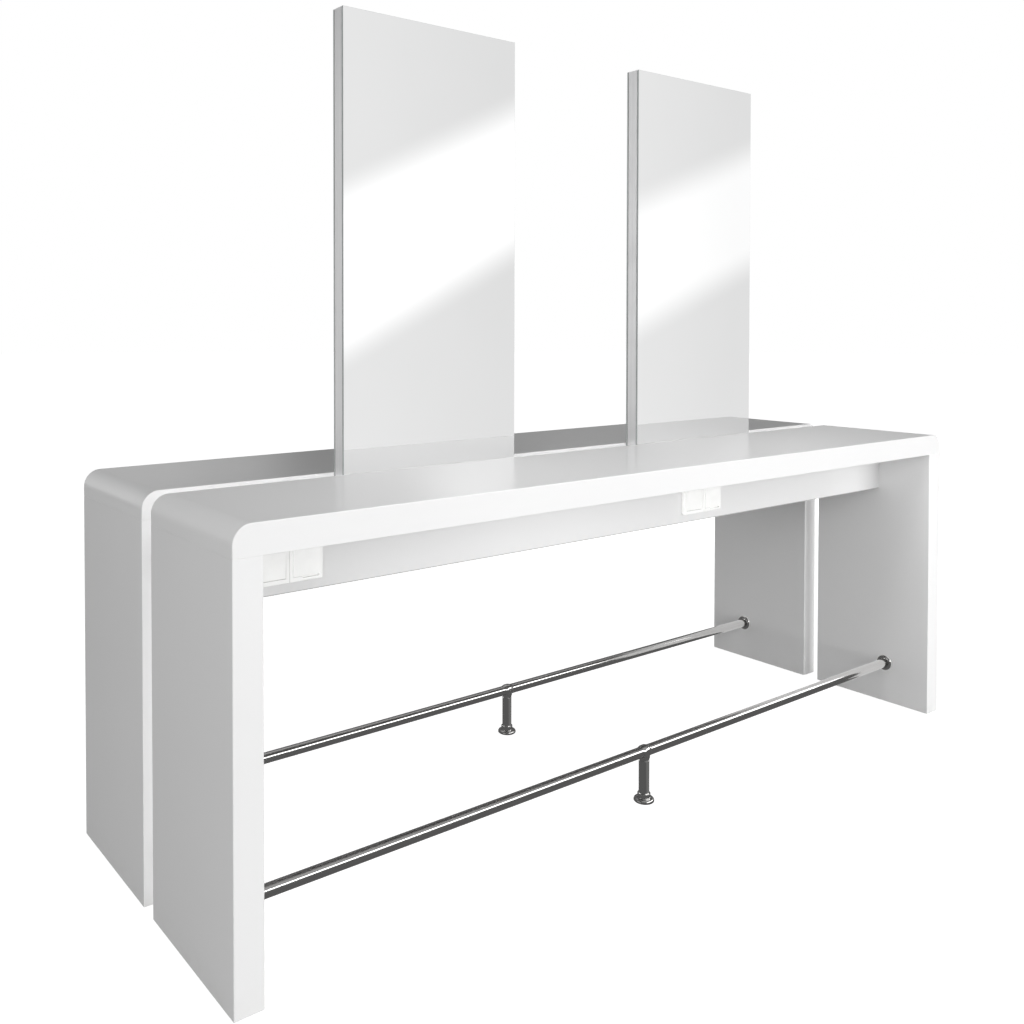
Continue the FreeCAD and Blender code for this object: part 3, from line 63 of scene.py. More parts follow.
# ---------------------------------------------------------------- camera
def make_camera():
    cam = bpy.data.cameras.new("camera")
    cam.sensor_width = 36.0
    cam.sensor_fit = "HORIZONTAL"
    cam.lens = 36.0 * 1007.81 / 1024.0
    cam.shift_x = (512.0 - 430.0) / 1024.0
    cam.shift_y = -(512.0 - 343.73) / 1024.0
    cam.clip_start, cam.clip_end = 0.05, 200.0
    cam.dof.use_dof = False
    ob = bpy.data.objects.new("camera", cam)
    scene.collection.objects.link(ob)
    yaw, pitch, roll = 0.6331, 0.0205, 0.0007
    forward = Vector((math.sin(yaw) * math.cos(pitch), math.cos(yaw) * math.cos(pitch), -math.sin(pitch)))
    ob.location = (-1.9464, -1.9977, 1.2178)
    q = forward.to_track_quat("-Z", "Y")
    ob.rotation_mode = "QUATERNION"
    ob.rotation_quaternion = q
    scene.camera = ob
    return ob


make_camera()
scene.view_settings.view_transform = "Standard"
scene.view_settings.look = "None"
scene.view_settings.exposure = 0.0
scene.view_settings.gamma = 1.0


# ---------------------------------------------------------------- node helpers
class Tree:
    """A small builder for node trees: t.add(kind, {socket: value or output}, attribute=...)."""

    def __init__(self, tree):
        self.tree = tree
        self.nodes = tree.nodes
        self.nodes.clear()

    def add(self, kind, inputs=None, **attributes):
        n = self.nodes.new(kind)
        for key, value in attributes.items():
            setattr(n, key, value)
        for key, value in (inputs or {}).items():
            socket = n.inputs[key]
            if isinstance(value, bpy.types.NodeSocket):
                self.tree.links.new(value, socket)
            else:
                socket.default_value = value
        return n

    def math(self, op, a, b=0.0, c=0.0, clamp=False):
        return self.add("ShaderNodeMath", {0: a, 1: b, 2: c}, operation=op, use_clamp=clamp).outputs[0]

    def remap(self, value, f0, f1, t0, t1, smooth=False):
        n = self.add("ShaderNodeMapRange", {"Value": value, "From Min": f0, "From Max": f1, "To Min": t0, "To Max": t1},
                     interpolation_type="SMOOTHSTEP" if smooth else "LINEAR", clamp=True)
        return n.outputs[0]

    def noise(self, vector, scale, detail=3.0, rough=0.5, distortion=0.0):
        return self.add("ShaderNodeTexNoise", {"Vector": vector, "Scale": scale, "Detail": detail, "Roughness": rough,
                                               "Distortion": distortion}).outputs["Fac"]

    def mix(self, fac, a, b, blend="MIX"):
        n = self.nodes.new("ShaderNodeMix")
        n.data_type = "RGBA"
        n.blend_type = blend
        for i, v in ((0, fac), (6, a), (7, b)):
            if isinstance(v, bpy.types.NodeSocket):
                self.tree.links.new(v, n.inputs[i])
            else:
                n.inputs[i].default_value = v
        return n.outputs[2]

    def scaled(self, vector, x, y, z):
        return self.add("ShaderNodeVectorMath", {0: vector, 1: (x, y, z)}, operation="MULTIPLY").outputs[0]


def rgba(c):
    return (c[0], c[1], c[2], 1.0)


def material(name):
    m = bpy.data.materials.new(name)
    m.use_nodes = True
    t = Tree(m.node_tree)
    out = t.add("ShaderNodeOutputMaterial")
    shader = t.add("ShaderNodeBsdfPrincipled")
    t.tree.links.new(shader.outputs[0], out.inputs[0])
    where = t.add("ShaderNodeTexCoord").outputs["Object"]
    return m, t, shader, where


def feed(t, shader, **values):
    for key, value in values.items():
        socket = shader.inputs[key.replace("_", " ")]
        if isinstance(value, bpy.types.NodeSocket):
            t.tree.links.new(value, socket)
        else:
            socket.default_value = value


def bump(t, shader, height, strength, distance, socket="Normal", under=None):
    n = t.add("ShaderNodeBump", {"Height": height, "Strength": strength, "Distance": distance})
    if under is not None:
        t.tree.links.new(under, n.inputs["Normal"])
    if shader is not None:
        t.tree.links.new(n.outputs[0], shader.inputs[socket])
    return n.outputs[0]


# ---------------------------------------------------------------- materials
def lacquer(name, base=(0.80, 0.80, 0.80), rough=0.30, coat=0.35, coat_rough=0.06, edge=None):
    """Sprayed white lacquer: broad soft changes of tone and gloss, a faint fine peel, a little dirt low on the legs.
    Edge is the height of a lower edge along which a painted shadow line is laid: a grey band up to 2.6 mm high that
    stands for the arris in shade."""
    m, t, s, p = material(name)
    cloud = t.noise(p, 1.6, 2.0, 0.5)
    haze = t.noise(p, 3.1, 2.0, 0.5)
    peel = t.noise(p, 380.0, 1.0, 0.4)
    tone = t.remap(cloud, 0.3, 0.7, 0.0, 1.0, smooth=True)
    a = tuple(x * 0.990 for x in base)
    b = tuple(min(1.0, x * 1.008) for x in base)
    col = t.mix(tone, rgba(a), rgba(b))
    # dust and scuffs gather near the floor
    z = t.add("ShaderNodeSeparateXYZ", {0: p}).outputs["Z"]
    low = t.remap(z, 0.0, 0.06, 1.0, 0.0, smooth=True)
    spots = t.remap(t.noise(p, 30.0, 3.0, 0.5), 0.40, 0.80, 0.0, 1.0, smooth=True)
    grime = t.math("MULTIPLY", low, t.math("MULTIPLY_ADD", spots, 0.20, 0.06))
    col = t.mix(grime, col, rgba((base[0] * 0.80, base[1] * 0.79, base[2] * 0.76)))
    if edge is not None:
        # painted shadow: grey along the lowest 1.2 mm above the edge, fading out by 2.6 mm, for the lower arris in
        # shade
        painted_edge_shadow = t.remap(z, edge + 0.0012, edge + 0.0026, 1.0, 0.0, smooth=True)
        col = t.mix(t.math("MULTIPLY", painted_edge_shadow, t.remap(t.noise(p, 40.0, 2.0, 0.5), 0.3, 0.7, 0.75, 1.0)), col, rgba((0.42, 0.42, 0.41)))
    r = t.math("ADD", t.remap(haze, 0.3, 0.7, rough - 0.015, rough + 0.015, smooth=True), t.math("MULTIPLY", grime, 0.2))
    feed(t, s, Base_Color=col, Roughness=r, Coat_Weight=coat, Coat_Roughness=coat_rough, Coat_IOR=1.5, IOR=1.45)
    bump(t, s, peel, 0.012, 0.0002)
    return m


def polished_steel(name, axis="X", base=(0.52, 0.515, 0.51), rough=0.10, streak=0.10):
    """Stainless steel, ground and polished along axis, with handling haze."""
    m, t, s, p = material(name)
    k = {"X": (3.0, 900.0, 900.0), "Z": (900.0, 900.0, 3.0), "Y": (900.0, 3.0, 900.0)}[axis]
    lines = t.noise(t.scaled(p, *k), 1.0, 3.0, 0.6)
    haze = t.noise(p, 26.0, 5.0, 0.6, 0.4)
    col = t.mix(t.remap(lines, 0.35, 0.65, 0.0, 1.0), rgba(tuple(x * 0.90 for x in base)), rgba(tuple(x * 1.08 for x in base)))
    r = t.math("ADD", t.remap(lines, 0.3, 0.7, rough * 0.7, rough * 1.3), t.remap(haze, 0.5, 0.8, 0.0, streak))
    feed(t, s, Base_Color=col, Metallic=1.0, Roughness=r)
    bump(t, s, lines, 0.02, 0.0002)
    return m


def mirror_glass(name):
    m, t, s, p = material(name)
    cloud = t.noise(p, 3.0, 4.0, 0.6)
    smear = t.noise(t.scaled(p, 3.0, 3.0, 1.0), 6.0, 6.0, 0.65, 1.2)
    col = t.mix(t.remap(cloud, 0.35, 0.7, 0.0, 1.0), rgba((0.929, 0.931, 0.931)), rgba((0.942, 0.943, 0.944)))
    r = t.remap(smear, 0.60, 0.85, 0.004, 0.045)
    feed(t, s, Base_Color=col, Metallic=1.0, Roughness=r)
    return m


def satin_metal(name, base, rough=0.3, grain=(2.0, 300.0, 300.0), depth=0.04, metallic=1.0):
    m, t, s, p = material(name)
    lines = t.noise(t.scaled(p, *grain), 1.0, 3.0, 0.6)
    haze = t.noise(p, 18.0, 4.0, 0.6)
    col = t.mix(t.remap(lines, 0.3, 0.7, 0.0, 1.0), rgba(tuple(x * 0.93 for x in base)), rgba(tuple(min(1, x * 1.05) for x in base)))
    r = t.math("ADD", t.remap(lines, 0.3, 0.7, rough - 0.05, rough + 0.05), t.remap(haze, 0.45, 0.8, 0.0, 0.10))
    feed(t, s, Base_Color=col, Metallic=metallic, Roughness=r)
    bump(t, s, lines, depth, 0.0003)
    return m


def zinc(name, base=(0.60, 0.60, 0.59)):
    """Zinc plate: a soft spangle in tone and gloss."""
    m, t, s, p = material(name)
    cell = t.add("ShaderNodeTexVoronoi", {"Vector": p, "Scale": 420.0}, feature="F1").outputs["Color"]
    tone = t.add("ShaderNodeSeparateColor", {0: cell}).outputs[0]
    cloud = t.noise(p, 90.0, 4.0, 0.6)
    col = t.mix(tone, rgba(tuple(x * 0.88 for x in base)), rgba(tuple(min(1, x * 1.10) for x in base)))
    col = t.mix(t.remap(cloud, 0.4, 0.8, 0.0, 0.35), col, rgba((0.50, 0.48, 0.42)))
    r = t.math("ADD", t.math("MULTIPLY", tone, 0.12), t.remap(cloud, 0.3, 0.7, 0.26, 0.42))
    feed(t, s, Base_Color=col, Metallic=1.0, Roughness=r)
    bump(t, s, cloud, 0.08, 0.0002)
    return m


def plastic(name, base, rough=0.2, coat=0.3, grain=900.0, depth=0.03, spread=0.03):
    m, t, s, p = material(name)
    tex = t.noise(p, grain, 3.0, 0.6)
    cloud = t.noise(p, 30.0, 4.0, 0.6)
    col = t.mix(t.remap(cloud, 0.3, 0.7, 0.0, 1.0), rgba(tuple(x * (1 - spread) for x in base)), rgba(tuple(min(1, x * (1 + spread * 0.5)) for x in base)))
    r = t.remap(cloud, 0.3, 0.75, rough - 0.03, rough + 0.07)
    feed(t, s, Base_Color=col, Roughness=r, Coat_Weight=coat, Coat_Roughness=0.08, IOR=1.46)
    bump(t, s, tex, depth, 0.0002)
    return m


def timber(name, base, dark, axis="X", scale=1.0, rough=0.55):
    """Wood: rings stretched along its grain, with pores."""
    m, t, s, p = material(name)
    k = {"X": (4.0, 70.0, 70.0), "Y": (70.0, 4.0, 70.0), "Z": (70.0, 70.0, 4.0)}[axis]
    q = t.scaled(p, *[x * scale for x in k])
    grain = t.noise(q, 1.0, 6.0, 0.65, 0.8)
    pores = t.noise(t.scaled(p, *[x * scale * 6 for x in k]), 1.0, 3.0, 0.7)
    col = t.mix(t.remap(grain, 0.35, 0.68, 0.0, 1.0), rgba(dark), rgba(base))
    col = t.mix(t.remap(pores, 0.60, 0.75, 0.0, 0.5), col, rgba(tuple(x * 0.6 for x in dark)))
    feed(t, s, Base_Color=col, Roughness=t.remap(grain, 0.3, 0.7, rough + 0.08, rough - 0.04))
    bump(t, s, pores, 0.15, 0.0003)
    return m


def fibreboard(name, base):
    m, t, s, p = material(name)
    fibre = t.noise(t.scaled(p, 300.0, 300.0, 900.0), 1.0, 5.0, 0.7, 0.5)
    speck = t.noise(p, 700.0, 2.0, 0.5)
    col = t.mix(t.remap(fibre, 0.35, 0.7, 0.0, 1.0), rgba(tuple(x * 0.78 for x in base)), rgba(tuple(min(1, x * 1.12) for x in base)))
    col = t.mix(t.remap(speck, 0.62, 0.75, 0.0, 0.5), col, rgba(tuple(x * 0.5 for x in base)))
    feed(t, s, Base_Color=col, Roughness=0.85)
    bump(t, s, fibre, 0.25, 0.0004)
    return m


def rubber(name, base=(0.030, 0.030, 0.031), rough=0.6):
    m, t, s, p = material(name)
    speck = t.noise(p, 800.0, 3.0, 0.6)
    dust = t.noise(p, 60.0, 5.0, 0.65)
    col = t.mix(t.remap(dust, 0.45, 0.8, 0.0, 0.5), rgba(base), rgba(tuple(x * 3 + 0.02 for x in base)))
    feed(t, s, Base_Color=col, Roughness=t.remap(dust, 0.3, 0.7, rough - 0.08, rough + 0.12))
    bump(t, s, speck, 0.15, 0.0003)
    return m


def powder_coat(name, base, rough=0.45):
    m, t, s, p = material(name)
    peel = t.noise(p, 900.0, 2.0, 0.5)
    cloud = t.noise(p, 12.0, 4.0, 0.6)
    col = t.mix(t.remap(cloud, 0.3, 0.7, 0.0, 1.0), rgba(tuple(x * 0.96 for x in base)), rgba(base))
    feed(t, s, Base_Color=col, Roughness=t.remap(cloud, 0.3, 0.7, rough - 0.05, rough + 0.06))
    bump(t, s, peel, 0.12, 0.0003)
    return m


def glass_edge(name):
    """Ground and polished edge of plate glass: deep green grey, with faint grinding lines."""
    m, t, s, p = material(name)
    lines = t.noise(t.scaled(p, 60.0, 900.0, 60.0), 1.0, 3.0, 0.6)
    col = t.mix(t.remap(lines, 0.3, 0.7, 0.0, 1.0), rgba((0.40, 0.425, 0.42)), rgba((0.50, 0.53, 0.525)))
    feed(t, s, Base_Color=col, Roughness=t.remap(lines, 0.3, 0.7, 0.08, 0.22), Coat_Weight=0.6, Coat_Roughness=0.05, IOR=1.52)
    bump(t, s, lines, 0.05, 0.0002)
    return m


M = {
    "white_lacquer": lacquer("white_lacquer"),
    "beech": timber("beech", (0.66, 0.47, 0.28), (0.46, 0.29, 0.15)),
    "glide_nylon": plastic("glide_nylon", (0.62, 0.61, 0.59), rough=0.4, coat=0.0),
    "mirror_board": fibreboard("mirror_board", (0.30, 0.31, 0.32)),
    "edge_aluminium": satin_metal("edge_aluminium", (0.74, 0.74, 0.745), rough=0.40, grain=(400.0, 400.0, 2.0), depth=0.02, metallic=0.6),
    "mirror_glass": mirror_glass("mirror_glass"),
    "black_bond": rubber("black_bond", (0.012, 0.012, 0.013), 0.5),
    "raw_board": fibreboard("raw_board", (0.40, 0.29, 0.18)),
    "zinc_steel": zinc("zinc_steel"),
    "stainless_tube": polished_steel("stainless_tube"),
    "stainless_turned": polished_steel("stainless_turned", axis="Z", rough=0.09),
    "black_rubber": rubber("black_rubber"),
    "tray_steel": powder_coat("tray_steel", (0.70, 0.70, 0.69)),
    "grey_plastic": plastic("grey_plastic", (0.33, 0.34, 0.35), rough=0.42, coat=0.0, depth=0.1),
    "box_plastic": plastic("box_plastic", (0.055, 0.058, 0.062), rough=0.45, coat=0.0, depth=0.1),
    "contact_brass": satin_metal("contact_brass", (0.72, 0.52, 0.24), rough=0.25),
    "spring_steel": satin_metal("spring_steel", (0.30, 0.30, 0.31), rough=0.3),
    "socket_white": plastic("socket_white", (0.88, 0.88, 0.87)),
    "lid_white": plastic("lid_white", (0.885, 0.885, 0.875)),
    "rocker_white": plastic("rocker_white", (0.885, 0.885, 0.875)),
    "glass_edge": glass_edge("glass_edge"),
    # the aprons' lacquer carries a painted shadow line along its lower edge
    "apron_lacquer": lacquer("apron_lacquer", edge=0.6855),
    "back_paint": rubber("back_paint", (0.05, 0.05, 0.055), 0.45),
    "stainless_post": polished_steel("stainless_post", axis="Z"),
}
for row in frame["record"]["subparts"]:
    ob = NODES[row["node"]]
    slot = row["material_slot"]
    ob.data.materials.clear()
    ob.data.materials.append(M["apron_lacquer" if row["node"].endswith("_apron") else slot])
    for f in ob.data.polygons:
        f.material_index = 0

# ---------------------------------------------------------------- mesh helpers
MM = 0.001
HALF_TURN = Matrix.Rotation(math.pi, 4, "Z")
SIDES = (Matrix.Identity(4), HALF_TURN)


def turned(bm, profile, at, axis, segments=64, closed=False, phase=0.0, up=None):
    """Adds a turned solid.  profile is a list of (radius, height) or (radius, height, outline),
    where outline(angle) scales the radius, so that a hexagon or a cross can be part of it."""
    axis = Vector(axis).normalized()
    at = Vector(at)
    u = Vector(up) if up is not None else (Vector((0, 0, 1)) if abs(axis.z) < 0.9 else Vector((1, 0, 0)))
    u = (u - axis * u.dot(axis)).normalized()
    v = axis.cross(u)
    rings = []
    for entry in profile:
        r, h = entry[0], entry[1]
        outline = entry[2] if len(entry) > 2 else None
        centre = at + axis * h
        if r < 1e-9:
            rings.append([bm.verts.new(centre)])
            continue
        ring = []
        for i in range(segments):
            a = 2 * math.pi * i / segments + phase
            k = r * (outline(a - phase) if outline else 1.0)
            ring.append(bm.verts.new(centre + (u * math.cos(a) + v * math.sin(a)) * k))
        rings.append(ring)
    pairs = list(zip(rings, rings[1:]))
    if closed:
        pairs.append((rings[-1], rings[0]))
    for a, b in pairs:
        n = max(len(a), len(b))
        for i in range(n):
            j = (i + 1) % n
            if len(a) == 1 and len(b) == 1:
                break
            if len(a) == 1:
                bm.faces.new((a[0], b[j], b[i]))
            elif len(b) == 1:
                bm.faces.new((a[i], a[j], b[0]))
            else:
                bm.faces.new((a[i], a[j], b[j], b[i]))


def arc(cx, cy, r, a0, a1, n):
    """Points of an arc in a profile, from angle a0 to a1 in degrees."""
    return [(cx + r * math.cos(math.radians(a0 + (a1 - a0) * i / n)), cy + r * math.sin(math.radians(a0 + (a1 - a0) * i / n)))
            for i in range(n + 1)]


def hexagon(a):
    """Scale of a hexagon's outline, 1 at the middle of its flats."""
    b = (a + math.pi / 6) % (math.pi / 3) - math.pi / 6
    return 1.0 / math.cos(b)


def chamfered(limit):
    """A hexagon whose corners are cut back to a circle."""
    return lambda a: min(hexagon(a), limit)


def cross(wide):
    """Scale of a cross recess, 1 at the ends of its arms, wide being an arm's half width."""
    def scale(a):
        c, s = max(abs(math.cos(a)), 1e-6), max(abs(math.sin(a)), 1e-6)
        return max(min(1.0 / c, wide / s), min(1.0 / s, wide / c))
    return scale


def prism(bm, outline, origin, u, v, depth, edge=0.0, segments=2):
    """Extrudes a closed outline in the plane of u and v along their cross product."""
    origin, u, v = Vector(origin), Vector(u).normalized(), Vector(v).normalized()
    n = u.cross(v)
    low = [bm.verts.new(origin + u * x + v * y) for x, y in outline]
    high = [bm.verts.new(p.co + n * depth) for p in low]
    count = len(low)
    faces = [bm.faces.new(list(reversed(low))), bm.faces.new(high)]
    for i in range(count):
        j = (i + 1) % count
        faces.append(bm.faces.new((low[i], low[j], high[j], high[i])))
    if edge > 0:
        rims = set(faces[0].edges) | set(faces[1].edges)
        bmesh.ops.bevel(bm, geom=list(rims), offset=edge, segments=segments, profile=0.5, affect="EDGES", clamp_overlap=True)


def block(bm, low, high, edge=0.5 * MM, segments=2):
    """A block with softened edges."""
    low, high = Vector(low), Vector(high)
    size = high - low
    m = Matrix.Translation((low + high) / 2) @ Matrix.Diagonal((size.x, size.y, size.z, 1.0))
    made = bmesh.ops.create_cube(bm, size=1.0, matrix=m)
    edges = {e for w in made["verts"] for e in w.link_edges}
    if edge > 0:
        bmesh.ops.bevel(bm, geom=list(edges), offset=edge, segments=segments, profile=0.5, affect="EDGES", clamp_overlap=True)


def round_rect(w, h, r, n=6, x0=0.0, y0=0.0):
    """A rectangle's outline with round corners, anticlockwise from x0, y0."""
    out = []
    for cx, cy, a in ((w - r, r, -90), (w - r, h - r, 0), (r, h - r, 90), (r, r, 180)):
        out += arc(x0 + cx, y0 + cy, r, a, a + 90, n)
    return out


def sweep(bm, points, radius, segments=12):
    """A round bar along a line of points."""
    points = [Vector(p) for p in points]
    rings = []
    normal = None
    for i, p in enumerate(points):
        t = (points[min(i + 1, len(points) - 1)] - points[max(i - 1, 0)]).normalized()
        if normal is None:
            normal = t.orthogonal().normalized()
        normal = (normal - t * normal.dot(t)).normalized()
        other = t.cross(normal)
        rings.append([bm.verts.new(p + (normal * math.cos(2 * math.pi * k / segments) + other * math.sin(2 * math.pi * k / segments)) * radius)
                      for k in range(segments)])
    for a, b in zip(rings, rings[1:]):
        for i in range(segments):
            j = (i + 1) % segments
            bm.faces.new((a[i], a[j], b[j], b[i]))
    bm.faces.new(list(reversed(rings[0])))
    bm.faces.new(rings[-1])


def mesh_of(bm, name):
    bmesh.ops.recalc_face_normals(bm, faces=bm.faces[:])
    me = bpy.data.meshes.new(name)
    bm.to_mesh(me)
    bm.free()
    return me


def on_both_sides(build):
    """The front side's pieces, and the same again turned half a turn about Z."""
    whole = bmesh.new()
    for turn in SIDES:
        one = bmesh.new()
        build(one)
        one.transform(turn)
        me = mesh_of(one, "part")
        whole.from_mesh(me)
        bpy.data.meshes.remove(me)
    return whole


def shade(me, sharp):
    """Smooth faces, with every edge sharper than the limit kept crisp."""
    bm = bmesh.new()
    bm.from_mesh(me)
    limit = math.radians(sharp)
    for e in bm.edges:
        e.smooth = len(e.link_faces) == 2 and e.calc_face_angle(0.0) < limit
    for f in bm.faces:
        f.smooth = True
    bm.to_mesh(me)
    bm.free()


def carved(bm, *cutters):
    """The mesh of bm less the cutters, as a new bmesh."""
    ob = bpy.data.objects.new("carved", mesh_of(bm, "carved"))
    scene.collection.objects.link(ob)
    tools = []
    for i, c in enumerate(cutters):
        tool = bpy.data.objects.new("carved_tool%d" % i, mesh_of(c, "tool"))
        scene.collection.objects.link(tool)
        m = ob.modifiers.new("cut%d" % i, "BOOLEAN")
        m.object, m.operation, m.solver = tool, "DIFFERENCE", "EXACT"
        tools.append(tool)
    bpy.context.view_layer.update()
    me = bpy.data.meshes.new_from_object(ob.evaluated_get(bpy.context.evaluated_depsgraph_get()))
    out = bmesh.new()
    out.from_mesh(me)
    bmesh.ops.remove_doubles(out, verts=out.verts[:], dist=1e-6)
    bmesh.ops.dissolve_limit(out, angle_limit=math.radians(0.4), verts=out.verts[:], edges=out.edges[:])
    for o in [ob] + tools:
        old = o.data
        bpy.data.objects.remove(o)
        bpy.data.meshes.remove(old)
    bpy.data.meshes.remove(me)
    return out


def joined(*parts):
    """The parts as one solid."""
    obs = []
    for i, p in enumerate(parts):
        o = bpy.data.objects.new("joined%d" % i, mesh_of(p, "joined%d" % i))
        scene.collection.objects.link(o)
        obs.append(o)
    for o in obs[1:]:
        m = obs[0].modifiers.new("add", "BOOLEAN")
        m.object, m.operation, m.solver = o, "UNION", "EXACT"
    bpy.context.view_layer.update()
    me = bpy.data.meshes.new_from_object(obs[0].evaluated_get(bpy.context.evaluated_depsgraph_get()))
    out = bmesh.new()
    out.from_mesh(me)
    for o in obs:
        old = o.data
        bpy.data.objects.remove(o)
        bpy.data.meshes.remove(old)
    bpy.data.meshes.remove(me)
    bmesh.ops.remove_doubles(out, verts=out.verts[:], dist=1e-6)
    return out


def piece(name, bm, slot, nodes=(), body="root", mats=None, sharp=32.0, pick=None, cutters=()):
    """Makes a shown piece that stands for CAD nodes, riding on a body."""
    me = mesh_of(carved(bm, *cutters) if cutters else bm, name)
    ob = bpy.data.objects.new(name, me)
    scene.collection.objects.link(ob)
    shade(me, sharp)
    me.materials.clear()
    for m in (mats or [M[slot]]):
        me.materials.append(m)
    if pick:
        for f in me.polygons:
            f.material_index = pick(f)
    flat = ob.modifiers.new("flat_faces", "WEIGHTED_NORMAL")
    flat.keep_sharp, flat.weight = True, 100
    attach(ob, body)
    if nodes:
        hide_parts(*nodes)
    return ob


# ---------------------------------------------------------------- mirrors
def pane(node):
    """Plate glass with a ground and polished arris round its face, silvered behind."""
    lo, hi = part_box(node)
    bm = bmesh.new()
    front = -1.0 if hi.y < 0 else 1.0
    face_y, back_y = (lo.y, hi.y) if front < 0 else (hi.y, lo.y)
    r = 0.6 * MM

    def loop(inset, y):
        return [bm.verts.new((x, y, z)) for x, z in ((lo.x + inset, lo.z + inset), (hi.x - inset, lo.z + inset),
                                                     (hi.x - inset, hi.z - inset), (lo.x + inset, hi.z - inset))]
    rows = [loop(0.0, back_y)]
    for i in range(5):
        a = math.radians(90.0 * i / 4)
        rows.append(loop(r * (1 - math.cos(a)), face_y - front * r * (1 - math.sin(a))))
    for a, b in zip(rows, rows[1:]):
        for i in range(4):
            j = (i + 1) % 4
            bm.faces.new((a[i], a[j], b[j], b[i]))
    bm.faces.new(rows[0])
    bm.faces.new(rows[-1])

    def pick(f):
        if f.normal.y * front > 0.999:
            return 0
        return 2 if f.normal.y * front < -0.9 else 1
    return piece(node + "_pane", bm, "mirror_glass", [node], mats=[M["mirror_glass"], M["glass_edge"], M["back_paint"]], pick=pick, sharp=5.0)


PANES = {n: pane(n) for n in ("left_mirror_front_glass", "right_mirror_front_glass", "left_mirror_rear_glass", "right_mirror_rear_glass")}


# ---------------------------------------------------------------- foot rails
RAIL_Y, RAIL_Z, RAIL_R = -0.2675, 0.127, 13.5 * MM


def tube(bm, a, b, outer, inner, segments=96):
    """A tube from a to b whose cut ends are lightly deburred."""
    a, b = Vector(a), Vector(b)
    long = (b - a).length
    c = 0.3 * MM
    turned(bm, [(outer - c, 0.0), (outer, c), (outer, long - c), (outer - c, long), (inner + c, long), (inner, long - c), (inner, c), (inner + c, 0.0)],
           a, b - a, segments, closed=True)


for side, turn in (("front", SIDES[0]), ("rear", SIDES[1])):
    bm = bmesh.new()
    tube(bm, (-1.135, RAIL_Y, RAIL_Z), (1.135, RAIL_Y, RAIL_Z), RAIL_R, 12.0 * MM)
    bm.transform(turn)
    piece(side + "_foot_rail_tube", bm, "stainless_tube", [side + "_foot_rail"], sharp=30.0)

bm = on_both_sides(lambda b: tube(b, (0.0, RAIL_Y, 0.004), (0.0, RAIL_Y, 0.106), RAIL_R, 12.0 * MM, 96))
piece("rail_post_tubes", bm, "stainless_tube", ["rail_posts"], mats=[M["stainless_post"]], sharp=30.0)


def covers(b):
    p = ([(22.4 * MM, 0.0), (24.6 * MM, 0.0), (25.0 * MM, 0.4 * MM)]
         + [(x * MM, y * MM) for x, y in arc(17.5, 4.5, 7.5, 0, 90, 14)]
         + [(x * MM, y * MM) for x, y in arc(14.6, 11.0, 1.0, 90, 180, 5)]
         + [(13.6 * MM, 8.5 * MM), (22.4 * MM, 8.5 * MM)])
    turned(b, p, (-1.140, RAIL_Y, RAIL_Z), (1, 0, 0), 96, closed=True)
    turned(b, p, (1.140, RAIL_Y, RAIL_Z), (-1, 0, 0), 96, closed=True)


piece("rail_end_cover_domes", on_both_sides(covers), "stainless_turned", ["rail_end_covers"], sharp=35.0)


def tee_solid(turn):
    """Sleeve on the rail, neck with a soft shoulder, and the spigot that enters the post."""
    sleeve, neck = bmesh.new(), bmesh.new()
    ease = [min(1.0, min(i, 24 - i) / 9.0) for i in range(25)]
    swell = [((13.9 + 2.6 * e * e * (3.0 - 2.0 * e)) * MM, (-15.0 + 30.0 * i / 24) * MM) for i, e in enumerate(ease)]
    turned(sleeve, [(0.0, -15.0 * MM)] + swell + [(0.0, 15.0 * MM)], (0.0, RAIL_Y, RAIL_Z), (1, 0, 0), 96)
    turned(neck, [(0.0, 4.0 * MM), (15.0 * MM, 4.0 * MM), (15.0 * MM, 14.2 * MM)] + [(x * MM, y * MM) for x, y in arc(15.7, 17.4, 2.2, 235, 180, 6)]
           + [(13.5 * MM, 20.6 * MM), (13.1 * MM, 21.0 * MM), (11.9 * MM, 21.0 * MM), (11.9 * MM, 42.4 * MM), (11.3 * MM, 43.0 * MM), (0.0, 43.0 * MM)],
           (0.0, RAIL_Y, RAIL_Z), (0, 0, -1), 96)
    bore, grub = bmesh.new(), bmesh.new()
    turned(bore, [(0.0, -20.0 * MM), (13.55 * MM, -20.0 * MM), (13.55 * MM, 20.0 * MM), (0.0, 20.0 * MM)], (0.0, RAIL_Y, RAIL_Z), (1, 0, 0), 96)
    turned(grub, [(0.0, 9.0 * MM), (2.55 * MM, 9.0 * MM), (2.55 * MM, 19.0 * MM), (0.0, 19.0 * MM)], (0.0, RAIL_Y, RAIL_Z), (0, 1, 0), 48)
    whole = carved(joined(sleeve, neck), bore, grub)
    whole.transform(turn)
    return whole


def together(*parts):
    """Separate solids in one mesh."""
    whole = bmesh.new()
    for p in parts:
        me = mesh_of(p, "part")
        whole.from_mesh(me)
        bpy.data.meshes.remove(me)
    return whole


piece("rail_tee_turnings", together(*[tee_solid(turn) for turn in SIDES]), "stainless_turned", ["rail_tees"], sharp=35.0)


def foot(b):
    p = ([(0.0, 1.5 * MM), (25.5 * MM, 1.5 * MM), (26.0 * MM, 2.0 * MM)]
         + [(x * MM, y * MM) for x, y in arc(20.0, 4.0, 6.0, 0, 88, 14)]
         + [(x * MM, y * MM) for x, y in arc(18.0, 11.5, 1.5, 270, 180, 6)]
         + [(x * MM, y * MM) for x, y in arc(15.3, 20.8, 1.2, 0, 90, 6)]
         + [(13.9 * MM, 22.0 * MM), (13.55 * MM, 21.6 * MM), (13.55 * MM, 4.0 * MM), (0.0, 4.0 * MM)])
    turned(b, p, (0.0, RAIL_Y, 0.0), (0, 0, 1), 96)


